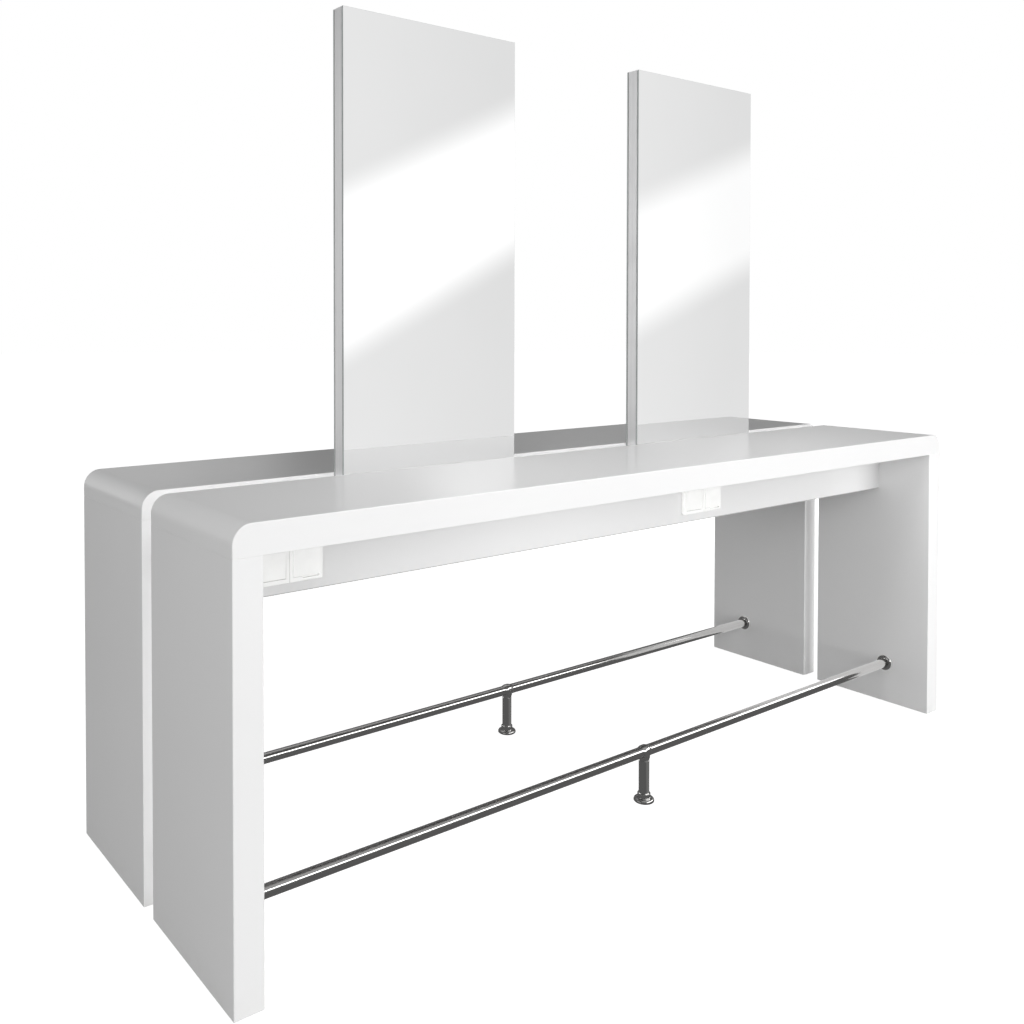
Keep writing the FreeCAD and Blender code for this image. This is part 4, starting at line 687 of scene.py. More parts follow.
def foot_hole(b):
    turned(b, [(0.0, 13.0 * MM), (2.55 * MM, 13.0 * MM), (2.55 * MM, 19.0 * MM), (0.0, 19.0 * MM)], (0.0, RAIL_Y, 0.016), (0, 1, 0), 48)


piece("post_foot_turnings", on_both_sides(foot), "stainless_turned", ["post_feet"], sharp=35.0, cutters=[on_both_sides(foot_hole)])


def grubs(b):
    for z in (RAIL_Z, 0.016):
        socket = 1.25 * MM
        turned(b, [(0.0, 13.6 * MM), (2.1 * MM, 13.6 * MM), (2.5 * MM, 14.0 * MM), (2.5 * MM, 16.4 * MM), (2.2 * MM, 16.8 * MM),
                   (socket, 16.8 * MM, hexagon), (socket, 15.2 * MM, hexagon), (0.0, 14.7 * MM)], (0.0, RAIL_Y, z), (0, 1, 0), 48)


piece("grub_screws_hex", on_both_sides(grubs), "zinc_steel", ["grub_screws"], sharp=35.0)


def pads(b):
    p = [(0.0, 0.0), (7.0 * MM, 0.0), (7.5 * MM, 0.5 * MM), (8.5 * MM, 0.5 * MM), (9.0 * MM, 0.0), (14.0 * MM, 0.0), (14.5 * MM, 0.5 * MM),
         (15.5 * MM, 0.5 * MM), (16.0 * MM, 0.0), (23.8 * MM, 0.0), (24.5 * MM, 0.5 * MM), (24.5 * MM, 1.2 * MM), (24.2 * MM, 1.5 * MM), (0.0, 1.5 * MM)]
    turned(b, p, (0.0, RAIL_Y, 0.0), (0, 0, 1), 96)


piece("post_foot_rubber", on_both_sides(pads), "black_rubber", ["post_foot_pads"], sharp=30.0)


def glides(b):
    p = [(0.0, 0.0), (13.6 * MM, 0.0), (14.5 * MM, 0.3 * MM), (15.0 * MM, 0.9 * MM), (14.8 * MM, 1.5 * MM), (4.0 * MM, 1.5 * MM),
         (4.0 * MM, 20.6 * MM), (3.2 * MM, 21.5 * MM), (0.0, 21.5 * MM)]
    for x in (-1.17, 1.17):
        for y in (-0.345, -0.085):
            turned(b, p, (x, y, 0.0), (0, 0, 1), 48)


piece("leg_glide_discs", on_both_sides(glides), "glide_nylon", ["leg_glides"], sharp=30.0)


# ---------------------------------------------------------------- screws, bolts, brackets
def screw_spots():
    """(point under the head, direction of the shank) of every wood screw of the front side."""
    out = []
    for k in (-1.0, 1.0):
        for i in range(3):
            a = math.radians(90 + 120 * i)
            out.append(((1.135 * k, RAIL_Y + 18.2 * MM * math.cos(a), RAIL_Z + 18.2 * MM * math.sin(a)), (k, 0, 0)))
        for y in (-0.185, -0.155):
            out.append(((1.116 * k, y, 0.807), (0, 0, 1)))
            out.append(((1.137 * k, y, 0.786), (k, 0, 0)))
    for x in (-0.970, -0.490, -0.240, 0.240, 0.490, 0.970):
        out.append(((x, -0.2195, 0.7012), (0, -1, 0)))
    for z in (0.73675, 0.789):
        out.append(((-0.165, -0.045, z), (0, 1, 0)))
    return out


def wood_screws(b):
    for n, (at, along) in enumerate(screw_spots()):
        head = [(0.0, -1.0 * MM), (1.15 * MM, -1.25 * MM, cross(0.30)), (1.75 * MM, -2.36 * MM, cross(0.28)), (2.25 * MM, -2.30 * MM),
                (3.0 * MM, -1.95 * MM), (3.5 * MM, -1.40 * MM), (3.8 * MM, -0.70 * MM), (3.8 * MM, 0.0), (2.0 * MM, 0.0), (2.0 * MM, 3.5 * MM)]
        thread = []
        h = 3.5
        while h < 13.6:
            thread += [((1.4) * MM, (h + 0.35) * MM), ((2.0) * MM, (h + 0.8) * MM)]
            h += 1.0
        turned(b, head + thread + [(0.0, 16.0 * MM)], at, along, 32, phase=0.5 * n)


piece("wood_screws_pan", on_both_sides(wood_screws), "zinc_steel", ["wood_screws"], sharp=35.0)

BOLTS = [(x, z) for x in (-0.6435, -0.3235, 0.340, 0.660, -1.0, 0.00825, 1.0) for z in (0.725, 0.785)]
STACK = 43.0 * MM + 1.6 * MM


def add_bolts(b):
    for i, (x, z) in enumerate(BOLTS):
        head = [(0.0, -5.1 * MM), (4.2 * MM, -5.1 * MM), (4.5 * MM, -5.5 * MM), (5.9 * MM, -5.5 * MM), (6.5 * MM, -5.1 * MM, chamfered(1.06)),
                (6.5 * MM, -4.6 * MM, hexagon), (6.5 * MM, -0.3 * MM, hexagon), (6.3 * MM, 0.0, chamfered(1.04)), (4.0 * MM, 0.0)]
        total = 2 * STACK + 7.0 * MM + 4.0 * MM
        h = total - 13.0 * MM
        shank = [(4.0 * MM, h)]
        while h < total - 1.2 * MM:
            shank += [(3.45 * MM, h + 0.5 * MM), (4.0 * MM, h + 1.0 * MM)]
            h += 1.0 * MM
        shank += [(3.2 * MM, total), (0.0, total)]
        turned(b, head + shank, (x, -STACK, z), (0, 1, 0), 48, phase=0.9 * i)


bm = bmesh.new()
add_bolts(bm)
piece("rail_bolts_hex", bm, "zinc_steel", ["rail_bolts"], sharp=30.0)


def add_nuts(b):
    for i, (x, z) in enumerate(BOLTS):
        nut = [(4.05 * MM, 0.3 * MM), (4.5 * MM, 0.0), (6.2 * MM, 0.0), (6.5 * MM, 0.4 * MM, chamfered(1.06)), (6.5 * MM, 1.0 * MM, hexagon),
               (6.5 * MM, 6.0 * MM, hexagon), (6.5 * MM, 6.6 * MM, chamfered(1.06)), (6.2 * MM, 7.0 * MM), (4.5 * MM, 7.0 * MM), (4.05 * MM, 6.7 * MM)]
        turned(b, nut, (x, STACK, z), (0, 1, 0), 48, closed=True, phase=1.3 * i + 0.4)
        washer = [(4.2 * MM, 0.0), (7.8 * MM, 0.0), (8.0 * MM, 0.2 * MM), (8.0 * MM, 1.3 * MM), (7.7 * MM, 1.6 * MM), (4.4 * MM, 1.6 * MM), (4.2 * MM, 1.4 * MM)]
        turned(b, washer, (x, 43.0 * MM, z), (0, 1, 0), 48, closed=True)
        turned(b, washer, (x, -43.0 * MM, z), (0, -1, 0), 48, closed=True)


bm = bmesh.new()
add_nuts(bm)
piece("rail_nuts_washers_plated", bm, "zinc_steel", ["rail_nuts_washers"], sharp=30.0)


def brackets(b):
    """Folded steel angles with clipped corners and a round inside bend."""
    for k in (-1.0, 1.0):
        outer, t = 40.0 * MM, 3.0 * MM
        section = [(0.0, -outer)] + [(t, -outer)] + [(t + 2.0 * MM - 2.0 * MM * math.cos(math.radians(a)), -t - 2.0 * MM + 2.0 * MM * math.sin(math.radians(a)))
                                                    for a in (0, 22.5, 45, 67.5, 90)] + [(outer, -t), (outer, 0.0)]
        section += [(1.2 * MM, 0.0), (0.35 * MM, -0.35 * MM), (0.0, -1.2 * MM)]
        if k < 0:
            prism(b, section, (-1.140, -0.140, 0.810), (1, 0, 0), (0, 0, 1), 60.0 * MM, edge=0.5 * MM)
        else:
            prism(b, [(-x, y) for x, y in reversed(section)], (1.140, -0.140, 0.810), (1, 0, 0), (0, 0, 1), 60.0 * MM, edge=0.5 * MM)


def bracket_cuts(b):
    for k in (-1.0, 1.0):
        for y in (-0.185, -0.155):
            turned(b, [(0.0, -6.0 * MM), (2.1 * MM, -6.0 * MM), (2.1 * MM, 6.0 * MM), (0.0, 6.0 * MM)], (1.116 * k, y, 0.8085), (0, 0, 1), 32)
            turned(b, [(0.0, -6.0 * MM), (2.1 * MM, -6.0 * MM), (2.1 * MM, 6.0 * MM), (0.0, 6.0 * MM)], (1.1385 * k, y, 0.786), (1, 0, 0), 32)


piece("corner_brackets_folded", on_both_sides(brackets), "zinc_steel", ["corner_brackets"], sharp=30.0, cutters=[on_both_sides(bracket_cuts)])


# ---------------------------------------------------------------- cable trays, junction boxes, glands
def tray_section():
    """A folded channel with round bends, from its lower left corner."""
    w, h, s, r = 60.0, 22.0, 1.5, 2.6
    outer = [(0.0, h)] + arc(r, r, r, 180, 270, 5) + arc(w - r, r, r, 270, 360, 5) + [(w, h)]
    inner = [(w - s, h)] + arc(w - r, r, r - s, 0, -90, 5) + arc(r, r, r - s, -90, -180, 5) + [(s, h)]
    return [(x * MM, y * MM) for x, y in outer + inner]


def trays(b):
    for c in (-0.730, 0.0, 0.730):
        # y runs from the apron's back face, x along the tray
        prism(b, tray_section(), (c - 0.360, -0.221, 0.688), (0, 1, 0), (0, 0, 1), 0.720, edge=0.35 * MM)


def tray_cuts(b):
    """Slots in the floor of the trays for cable ties."""
    for c in (-0.730, 0.0, 0.730):
        for i in range(9):
            x = c - 0.320 + 0.080 * i
            for y in (-0.206, -0.176):
                prism(b, round_rect(24.0 * MM, 5.0 * MM, 2.45 * MM, 6, x - 12.0 * MM, y - 2.5 * MM), (0, 0, 0.684), (1, 0, 0), (0, 1, 0), 8.0 * MM)
        for dx in (-0.240, 0.240):
            turned(b, [(0.0, -3.0 * MM), (2.1 * MM, -3.0 * MM), (2.1 * MM, 3.0 * MM), (0.0, 3.0 * MM)], (c + dx, -0.22025, 0.7012), (0, 1, 0), 32)


piece("cable_trays_folded", on_both_sides(trays), "tray_steel", ["cable_trays"], sharp=30.0, cutters=[on_both_sides(tray_cuts)])


def junctions(b):
    """A moulded box with round corners, a screwed lid, and drawn in knockouts."""
    x0, x1, z0, z1 = -0.200, -0.130, 0.713, 0.808
    back, front = -0.043, -0.081
    outline = round_rect(70.0 * MM, 95.0 * MM, 4.0 * MM, 6, x0, z0)
    inner = round_rect(66.0 * MM, 91.0 * MM, 2.5 * MM, 6, x0 + 2.0 * MM, z0 + 2.0 * MM)

    def ring(pts, y):
        return [b.verts.new((x, y, z)) for x, z in pts]
    rows = [ring(outline, back), ring(outline, front), ring(inner, front), ring(inner, back - 2.0 * MM)]
    n = len(outline)
    for p, q in zip(rows, rows[1:]):
        for i in range(n):
            j = (i + 1) % n
            b.faces.new((p[i], p[j], q[j], q[i]))
    b.faces.new(rows[0])
    b.faces.new(list(reversed(rows[-1])))
    # knockout rings on the side walls
    for x, k in ((x0, -1.0), (x1, 1.0)):
        for z in (0.740, 0.780):
            turned(b, [(8.0 * MM, -0.3 * MM), (8.0 * MM, 0.0), (8.6 * MM, 0.0), (8.6 * MM, -0.3 * MM)], (x, -0.062, z), (k, 0, 0), 48, closed=True)


def junction_lids(b):
    x0, z0 = -0.200, 0.713
    prism(b, round_rect(70.0 * MM, 95.0 * MM, 4.0 * MM, 6, x0, z0), (0, -0.081, 0), (1, 0, 0), (0, 0, 1), 1.999 * MM, edge=0.7 * MM, segments=3)
    for x in (x0 + 7.0 * MM, x0 + 63.0 * MM):
        for z in (z0 + 7.0 * MM, z0 + 88.0 * MM):
            turned(b, [(0.0, 0.4 * MM), (0.9 * MM, 0.3 * MM, cross(0.3)), (1.5 * MM, 0.0, cross(0.26)), (1.9 * MM, 0.0), (2.6 * MM, 0.15 * MM),
                       (2.9 * MM, 0.5 * MM), (2.9 * MM, 1.5 * MM), (0.0, 1.5 * MM)], (x, -0.0830, z), (0, 1, 0), 32)


piece("junction_box_bodies", on_both_sides(junctions), "grey_plastic", ["junction_boxes"], sharp=30.0)
piece("junction_box_lids", on_both_sides(junction_lids), "grey_plastic", sharp=30.0)


def glands(b):
    at = (-0.165, -0.062, 0.713)

    def fluted(a):
        return 1.0 - 0.035 * (0.5 - 0.5 * math.cos(18 * a)) ** 2
    p = [(5.0 * MM, -10.0 * MM), (7.4 * MM, -10.0 * MM), (8.0 * MM, -9.4 * MM), (8.0 * MM, 0.0), (11.6 * MM, 0.0), (12.0 * MM, 0.4 * MM, chamfered(1.08)),
         (12.0 * MM, 1.0 * MM, hexagon), (12.0 * MM, 5.0 * MM, hexagon), (12.0 * MM, 5.6 * MM, chamfered(1.08)), (11.6 * MM, 6.0 * MM),
         (10.2 * MM, 6.0 * MM), (10.2 * MM, 7.2 * MM), (10.5 * MM, 7.5 * MM, fluted), (10.5 * MM, 17.0 * MM, fluted), (10.2 * MM, 19.5 * MM, fluted)]
    p += [(x * MM, y * MM) for x, y in arc(7.2, 21.0, 3.0, 20, 90, 6)]
    p += [(6.2 * MM, 24.0 * MM), (5.4 * MM, 23.4 * MM), (5.0 * MM, 22.4 * MM)]
    turned(b, p, at, (0, 0, -1), 144, closed=True)
    nut = [(8.05 * MM, 0.0), (11.6 * MM, 0.0), (12.0 * MM, 0.4 * MM, chamfered(1.08)), (12.0 * MM, 1.0 * MM, hexagon), (12.0 * MM, 4.0 * MM, hexagon),
           (12.0 * MM, 4.6 * MM, chamfered(1.08)), (11.6 * MM, 5.0 * MM), (8.05 * MM, 5.0 * MM)]
    turned(b, nut, (-0.165, -0.062, 0.715), (0, 0, 1), 96, closed=True)


piece("supply_gland_mouldings", on_both_sides(glands), "grey_plastic", ["supply_glands"], sharp=30.0)


# ---------------------------------------------------------------- mirror edge trims
def trim(node):
    """A folded aluminium edging that wraps the core's sides and top, mitred at its corners."""
    lo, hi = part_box(node)
    t = 1.5 * MM
    bm = bmesh.new()
    outline = [(lo.x, lo.z), (lo.x, hi.z), (hi.x, hi.z), (hi.x, lo.z), (hi.x - t, lo.z), (hi.x - t, hi.z - t), (lo.x + t, hi.z - t), (lo.x + t, lo.z)]
    rows = []
    r = 0.5 * MM
    insets = [(r * (1 - math.sin(math.radians(90.0 * i / 4))), r * (1 - math.cos(math.radians(90.0 * i / 4)))) for i in range(5)]
    ys = [lo.y + a[1] for a in insets] + [hi.y - a[1] for a in reversed(insets)]
    ins = [a[0] for a in insets] + [a[0] for a in reversed(insets)]
    for y, d in zip(ys, ins):
        o = [(lo.x + d, lo.z), (lo.x + d, hi.z - d), (hi.x - d, hi.z - d), (hi.x - d, lo.z)] + outline[4:]
        rows.append([bm.verts.new((x, y, z)) for x, z in o])
    for a, b in zip(rows, rows[1:]):
        for i in range(8):
            j = (i + 1) % 8
            bm.faces.new((a[i], a[j], b[j], b[i]))
    bm.faces.new(rows[0])
    bm.faces.new(rows[-1])
    return piece(node + "_wrap", bm, "edge_aluminium", [node], sharp=25.0)


TRIM_PIECES = [trim("left_mirror_edge_trim"), trim("right_mirror_edge_trim")]


# ---------------------------------------------------------------- power points
UNITS = [("front_left", SIDES[0], -1.005), ("front_right", SIDES[0], 0.251), ("rear_right", SIDES[1], -1.005), ("rear_left", SIDES[1], 0.251)]
APRON_FACE = -0.239
HINGE = (-8.0 * MM, 68.2 * MM)


def own_frame(turn, cx):
    """From a power point's own frame, at its plate's lower left corner, to the row frame."""
    return turn @ Matrix.Translation((cx - 0.075, APRON_FACE, 0.708))


def soft_edges(bm, test, offset, segments=2):
    picked = [e for e in bm.edges if len(e.link_faces) == 2 and e.calc_face_angle(0.0) > math.radians(40) and test(e)]
    if picked:
        bmesh.ops.bevel(bm, geom=picked, offset=offset, segments=segments, profile=0.5, affect="EDGES", clamp_overlap=True)


def xz(b, outline, y_front, depth, edge=0.0, segments=2):
    """Extrudes an outline of x and z from y_front into the apron (+Y)."""
    prism(b, [(x, z) for x, z in reversed(outline)], (0, y_front + depth, 0), (1, 0, 0), (0, 0, 1), depth, edge, segments)


def plate_frame():
    """The double cover plate: softened outline, two windows, a groove between its halves, a grip under the flap."""
    b = bmesh.new()
    front = -10.5 * MM
    rows = []
    r = 1.0 * MM
    rings = [(r - r * math.sin(math.radians(90.0 * i / 5)), front + r - r * math.cos(math.radians(90.0 * i / 5))) for i in range(6)]
    rings.append((0.0, -0.25 * MM))
    rings.append((0.25 * MM, 0.0))
    for d, y in rings:
        o = round_rect(150.0 * MM - 2 * d, 80.0 * MM - 2 * d, 2.5 * MM - d * 0.9, 6, d, d)
        rows.append([b.verts.new((x, y, z)) for x, z in o])
    n = len(rows[0])
    for p, q in zip(rows, rows[1:]):
        for i in range(n):
            j = (i + 1) % n
            b.faces.new((p[i], p[j], q[j], q[i]))
    b.faces.new(rows[0])
    b.faces.new(rows[-1])
    windows = bmesh.new()
    for x in (7.5, 82.5):
        xz(windows, round_rect(60.0 * MM, 62.0 * MM, 0.9 * MM, 4, x * MM, 9.0 * MM), -13.0 * MM, 16.0 * MM)
    back = bmesh.new()
    xz(back, round_rect(145.6 * MM, 70.6 * MM, 1.0 * MM, 3, 2.2 * MM, 4.7 * MM), -2.0 * MM, 4.0 * MM)
    groove = bmesh.new()
    # the groove's walls lean a little, as a mould needs
    prism(groove, [(-0.40 * MM, 0.0), (0.40 * MM, 0.0), (0.56 * MM, 1.6 * MM), (-0.56 * MM, 1.6 * MM)],
          (75.0 * MM, front + 1.2 * MM, -1.0 * MM), (1, 0, 0), (0, -1, 0), -82.0 * MM)
    grip = bmesh.new()
    xz(grip, round_rect(38.0 * MM, 5.0 * MM, 1.0 * MM, 5, 104.5 * MM, 6.0 * MM), -13.0 * MM, 7.5 * MM)
    out = carved(b, windows, back, groove, grip)
    soft_edges(out, lambda e: all(abs(v.co.y - front) < 1e-5 for v in e.verts), 0.30 * MM, 3)
    return out


def insert():
    """The socket: flange and face, a round recess with a chamfered mouth, its floor, keys and hinge room."""
    b = bmesh.new()
    xz(b, round_rect(70.0 * MM, 70.0 * MM, 1.0 * MM, 3, 77.5 * MM, 5.0 * MM), -2.0 * MM, 2.0 * MM)
    face = bmesh.new()
    xz(face, round_rect(59.4 * MM, 61.4 * MM, 0.8 * MM, 4, 82.8 * MM, 9.3 * MM), -5.5 * MM, 3.6 * MM)
    body = bmesh.new()
    xz(body, round_rect(52.0 * MM, 52.0 * MM, 2.0 * MM, 4, 86.5 * MM, 14.0 * MM), -0.2 * MM, 20.2 * MM)
    mouth = bmesh.new()
    turned(mouth, [(0.0, -2.0 * MM), (20.6 * MM, -2.0 * MM), (20.6 * MM, 0.0), (19.5 * MM, 1.1 * MM), (19.5 * MM, 17.3 * MM), (19.2 * MM, 17.5 * MM), (0.0, 17.5 * MM)],
           (112.5 * MM, -5.5 * MM, 40.0 * MM), (0, 1, 0), 96)
    bores = bmesh.new()
    for k in (-9.5, 9.5):
        turned(bores, [(0.0, 16.0 * MM), (4.2 * MM, 16.0 * MM), (4.2 * MM, 17.5 * MM), (3.55 * MM, 18.1 * MM), (3.55 * MM, 30.0 * MM), (0.0, 30.0 * MM)],
               ((112.5 + k) * MM, -5.5 * MM, 40.0 * MM), (0, 1, 0), 48)
    step = bmesh.new()
    xz(step, [(80.0 * MM, 64.2 * MM), (145.0 * MM, 64.2 * MM), (145.0 * MM, 75.0 * MM), (80.0 * MM, 75.0 * MM)], -8.0 * MM, 4.0 * MM)
    whole = joined(b, face, body)
    whole = carved(whole, mouth, bores, step)
    # keys on the recess's left and right walls, and the fixing screw's pillar
    for k in (-1.0, 1.0):
        x = 112.5 * MM + k * 18.1 * MM
        for dz in (-3.6 * MM, 3.6 * MM):
            block(whole, (x - 1.5 * MM, -3.6 * MM, 40.0 * MM + dz - 1.1 * MM), (x + 1.5 * MM, 12.2 * MM, 40.0 * MM + dz + 1.1 * MM), 0.4 * MM, 2)
    turned(whole, [(0.0, 0.0), (0.7 * MM, 0.1 * MM, cross(0.3)), (1.3 * MM, 0.0, cross(0.26)), (2.4 * MM, 0.0), (2.9 * MM, 0.4 * MM), (3.2 * MM, 1.6 * MM), (3.2 * MM, 3.1 * MM), (0.0, 3.1 * MM)],
           (112.5 * MM, 9.2 * MM, 40.0 * MM), (0, 1, 0), 32)
    return whole


def flap():
    """The sprung flap, in a frame whose origin is the left end of its hinge."""
    b = bmesh.new()
    low = -58.6
    r = 0.9
    section = ([(2.0, low + 0.5), (2.0, 0.05)] + arc(0.0, 0.05, 2.0, 0, 180, 16) + [(-2.0, 0.0), (-2.0, -3.4)] + arc(-2.55, -3.65, 0.55, 0, -90, 3)
               + arc(-4.0 + r, -4.2 - r, r, 90, 180, 5) + arc(-4.0 + r, low + r, r, 180, 270, 5) + [(1.5, low)])
    pts = [(y * MM, z * MM) for y, z in section]
    prism(b, pts, (0, 0, 0), (0, 1, 0), (0, 0, 1), 59.4 * MM, edge=0.45 * MM, segments=3)
    notch = bmesh.new()
    xz(notch, round_rect(9.0 * MM, 8.0 * MM, 1.0 * MM, 4, 25.2 * MM, -4.2 * MM), -6.0 * MM, 12.0 * MM)
    bore = bmesh.new()
    turned(bore, [(0.0, -1.0 * MM), (0.86 * MM, -1.0 * MM), (0.86 * MM, 61.0 * MM), (0.0, 61.0 * MM)], (0, 0, 0), (1, 0, 0), 24)
    return carved(b, notch, bore)


def rocker():
    """The rocker in its pivot's frame: a crowned plate with softened edges, a boss and an axle."""
    b = bmesh.new()
    w, h = 59.4 * MM, 60.6 * MM
    back, face = -3.9 * MM, -7.9 * MM
    r = 0.9 * MM
    rings = [(r - r * math.sin(math.radians(90.0 * i / 5)), face + r - r * math.cos(math.radians(90.0 * i / 5))) for i in range(6)]
    rings.append((0.0, back - 0.2 * MM))
    rings.append((0.2 * MM, back))
    inner = [(4.0 * MM, face + 0.02 * MM), (2.2 * MM, face + 0.008 * MM)]
    rows = []
    for d, y in inner + rings:
        o = round_rect(w - 2 * d, h - 2 * d, max(1.1 * MM - d, 0.15 * MM), 5, d - w / 2, d - h / 2)
        rows.append([b.verts.new((x, y, z)) for x, z in o])
    n = len(rows[0])
    for p, q in zip(rows, rows[1:]):
        for i in range(n):
            j = (i + 1) % n
            b.faces.new((p[i], p[j], q[j], q[i]))
    b.faces.new(rows[0])
    b.faces.new(rows[-1])
    block(b, (-7.5 * MM, back - 0.3 * MM, -4.0 * MM), (7.5 * MM, 2.5 * MM, 4.0 * MM), 0.6 * MM, 2)
    turned(b, [(0.0, -12.0 * MM), (1.3 * MM, -12.0 * MM), (1.5 * MM, -11.8 * MM), (1.5 * MM, 11.8 * MM), (1.3 * MM, 12.0 * MM), (0.0, 12.0 * MM)], (0, 0, 0), (1, 0, 0), 32)
    return b


def contacts(b):
    for k in (-9.5, 9.5):
        turned(b, [(2.5 * MM, 0.6 * MM), (2.9 * MM, 0.0), (3.3 * MM, 0.0), (3.5 * MM, 0.3 * MM), (3.5 * MM, 17.6 * MM), (3.1 * MM, 18.0 * MM), (0.0, 18.0 * MM), (0.0, 16.0 * MM), (2.5 * MM, 16.0 * MM)],
               ((112.5 + k) * MM, 12.5 * MM, 40.0 * MM), (0, 1, 0), 48)
    # sprung earth strips at the top and bottom of the recess
    for k in (-1.0, 1.0):
        line = []
        for y, z in ((12.0, 18.6), (10.0, 18.8), (6.0, 18.2), (1.0, 16.6), (-1.4, 16.0), (-3.2, 16.7), (-4.2, 18.4)):
            line.append((y * MM, 40.0 * MM + k * z * MM))
        half, t = 2.2 * MM, 0.35 * MM
        rows = []
        for y, z in line:
            rows.append([b.verts.new((112.5 * MM + sx * half, y, z + sz * t)) for sx, sz in ((-1, -1), (1, -1), (1, 1), (-1, 1))])
        for p, q in zip(rows, rows[1:]):
            for i in range(4):
                j = (i + 1) % 4
                b.faces.new((p[i], p[j], q[j], q[i]))
        b.faces.new(rows[0])
        b.faces.new(rows[-1])


def hinge_pin(b):
    turned(b, [(0.0, 0.0), (0.6 * MM, 0.0), (0.8 * MM, 0.2 * MM), (0.8 * MM, 67.8 * MM), (0.6 * MM, 68.0 * MM), (0.0, 68.0 * MM)],
           (78.5 * MM, HINGE[0], HINGE[1]), (1, 0, 0), 32)


def lid_spring(b):
    """A helical spring round the pin, one leg on the socket and one behind the flap."""
    x0, y0, z0 = 109.0 * MM, HINGE[0], HINGE[1]
    mean, wire, long, turns = 1.45 * MM, 0.28 * MM, 7.0 * MM - 0.56 * MM, 8
    pts = [(x0 + wire, y0 + 3.9 * MM, z0 - 0.25 * MM), (x0 + wire, y0 + 2.6 * MM, z0 - 0.2 * MM)]
    steps = turns * 24
    for i in range(steps + 1):
        a = 2 * math.pi * turns * i / steps
        pts.append((x0 + wire + long * i / steps, y0 + mean * math.cos(a), z0 + mean * math.sin(a)))
    pts += [(x0 + wire + long, y0 + mean, z0 - 1.2 * MM), (x0 + wire + long, y0 + mean, z0 - 3.5 * MM)]
    sweep(b, pts, wire, 10)


def gather(build):
    """One piece for all four power points, build working in a power point's own frame."""
    whole = bmesh.new()
    for name, turn, cx in UNITS:
        one = bmesh.new()
        build(one)
        one.transform(own_frame(turn, cx))
        me = mesh_of(one, "part")
        whole.from_mesh(me)
        bpy.data.meshes.remove(me)
    return whole


frame_master, insert_master, flap_master = (mesh_of(x, "master") for x in (plate_frame(), insert(), flap()))


def from_mesh(me, m):
    b = bmesh.new()
    b.from_mesh(me)
    b.transform(m)
    return b


for name, turn, cx in UNITS:
    at = own_frame(turn, cx)
    piece(name + "_cover_plate", from_mesh(frame_master, at), "socket_white", [name + "_socket_frame"], sharp=35.0)
    piece(name + "_socket_insert", from_mesh(insert_master, at), "socket_white", [name + "_socket"], sharp=35.0)
    piece(name + "_flap_shell", from_mesh(flap_master, at @ Matrix.Translation((82.8 * MM, HINGE[0], HINGE[1]))), "lid_white",
          [name + "_socket_lid"], body=name + "_flap", sharp=35.0)
    b = rocker()
    b.transform(at @ Matrix.Translation((37.5 * MM, -3.0 * MM, 40.0 * MM)) @ Matrix.Rotation(math.radians(2.5), 4, "X"))
    piece(name + "_rocker_cap", b, "rocker_white", [name + "_switch_rocker"], body=name + "_switch", sharp=35.0)
for me in (frame_master, insert_master, flap_master):
    bpy.data.meshes.remove(me)
piece("socket_contact_sleeves", gather(contacts), "contact_brass", ["socket_contacts"], sharp=35.0)
piece("lid_hinge_rods", gather(hinge_pin), "spring_steel", ["lid_hinge_pins"], sharp=35.0)
piece("lid_coil_springs", gather(lid_spring), "spring_steel", ["lid_springs"], sharp=60.0)


# ---------------------------------------------------------------- stage, light and world
def stage_floor():
    bpy.ops.mesh.primitive_circle_add(vertices=128, radius=40.0, fill_type="NGON", location=(0, 0, -0.0005))
    ob = bpy.context.object
    ob.name = "studio_floor"
    m = bpy.data.materials.new("studio_floor")
    m.use_nodes = True
    t = Tree(m.node_tree)
    out = t.add("ShaderNodeOutputMaterial")
    p = t.add("ShaderNodeTexCoord").outputs["Object"]
    tone = t.noise(p, 1.4, 4.0, 0.6)
    col = t.mix(t.remap(tone, 0.3, 0.7, 0.0, 1.0), rgba((0.44, 0.44, 0.44)), rgba((0.46, 0.46, 0.46)))
    body = t.add("ShaderNodeBsdfDiffuse", {"Color": col})
    glow = t.add("ShaderNodeEmission", {"Color": (1, 1, 1, 1), "Strength": 0.92})
    pale = t.add("ShaderNodeAddShader", {0: body.outputs[0], 1: glow.outputs[0]})
    lift = t.add("ShaderNodeEmission", {"Color": (1, 1, 1, 1), "Strength": 0.07})
    matt = t.add("ShaderNodeBsdfDiffuse", {"Color": (0.30, 0.30, 0.30, 1.0)})
    soft = t.add("ShaderNodeAddShader", {0: matt.outputs[0], 1: lift.outputs[0]})
    dim = t.add("ShaderNodeEmission", {"Color": (1, 1, 1, 1), "Strength": 0.17})
    path = t.add("ShaderNodeLightPath")
    seen = t.add("ShaderNodeMixShader", {0: path.outputs["Is Camera Ray"], 1: soft.outputs[0], 2: pale.outputs[0]})
    final = t.add("ShaderNodeMixShader", {0: path.outputs["Is Glossy Ray"], 1: seen.outputs[0], 2: dim.outputs[0]})
    t.tree.links.new(final.outputs[0], out.inputs[0])
    ob.data.materials.append(m)
    return ob


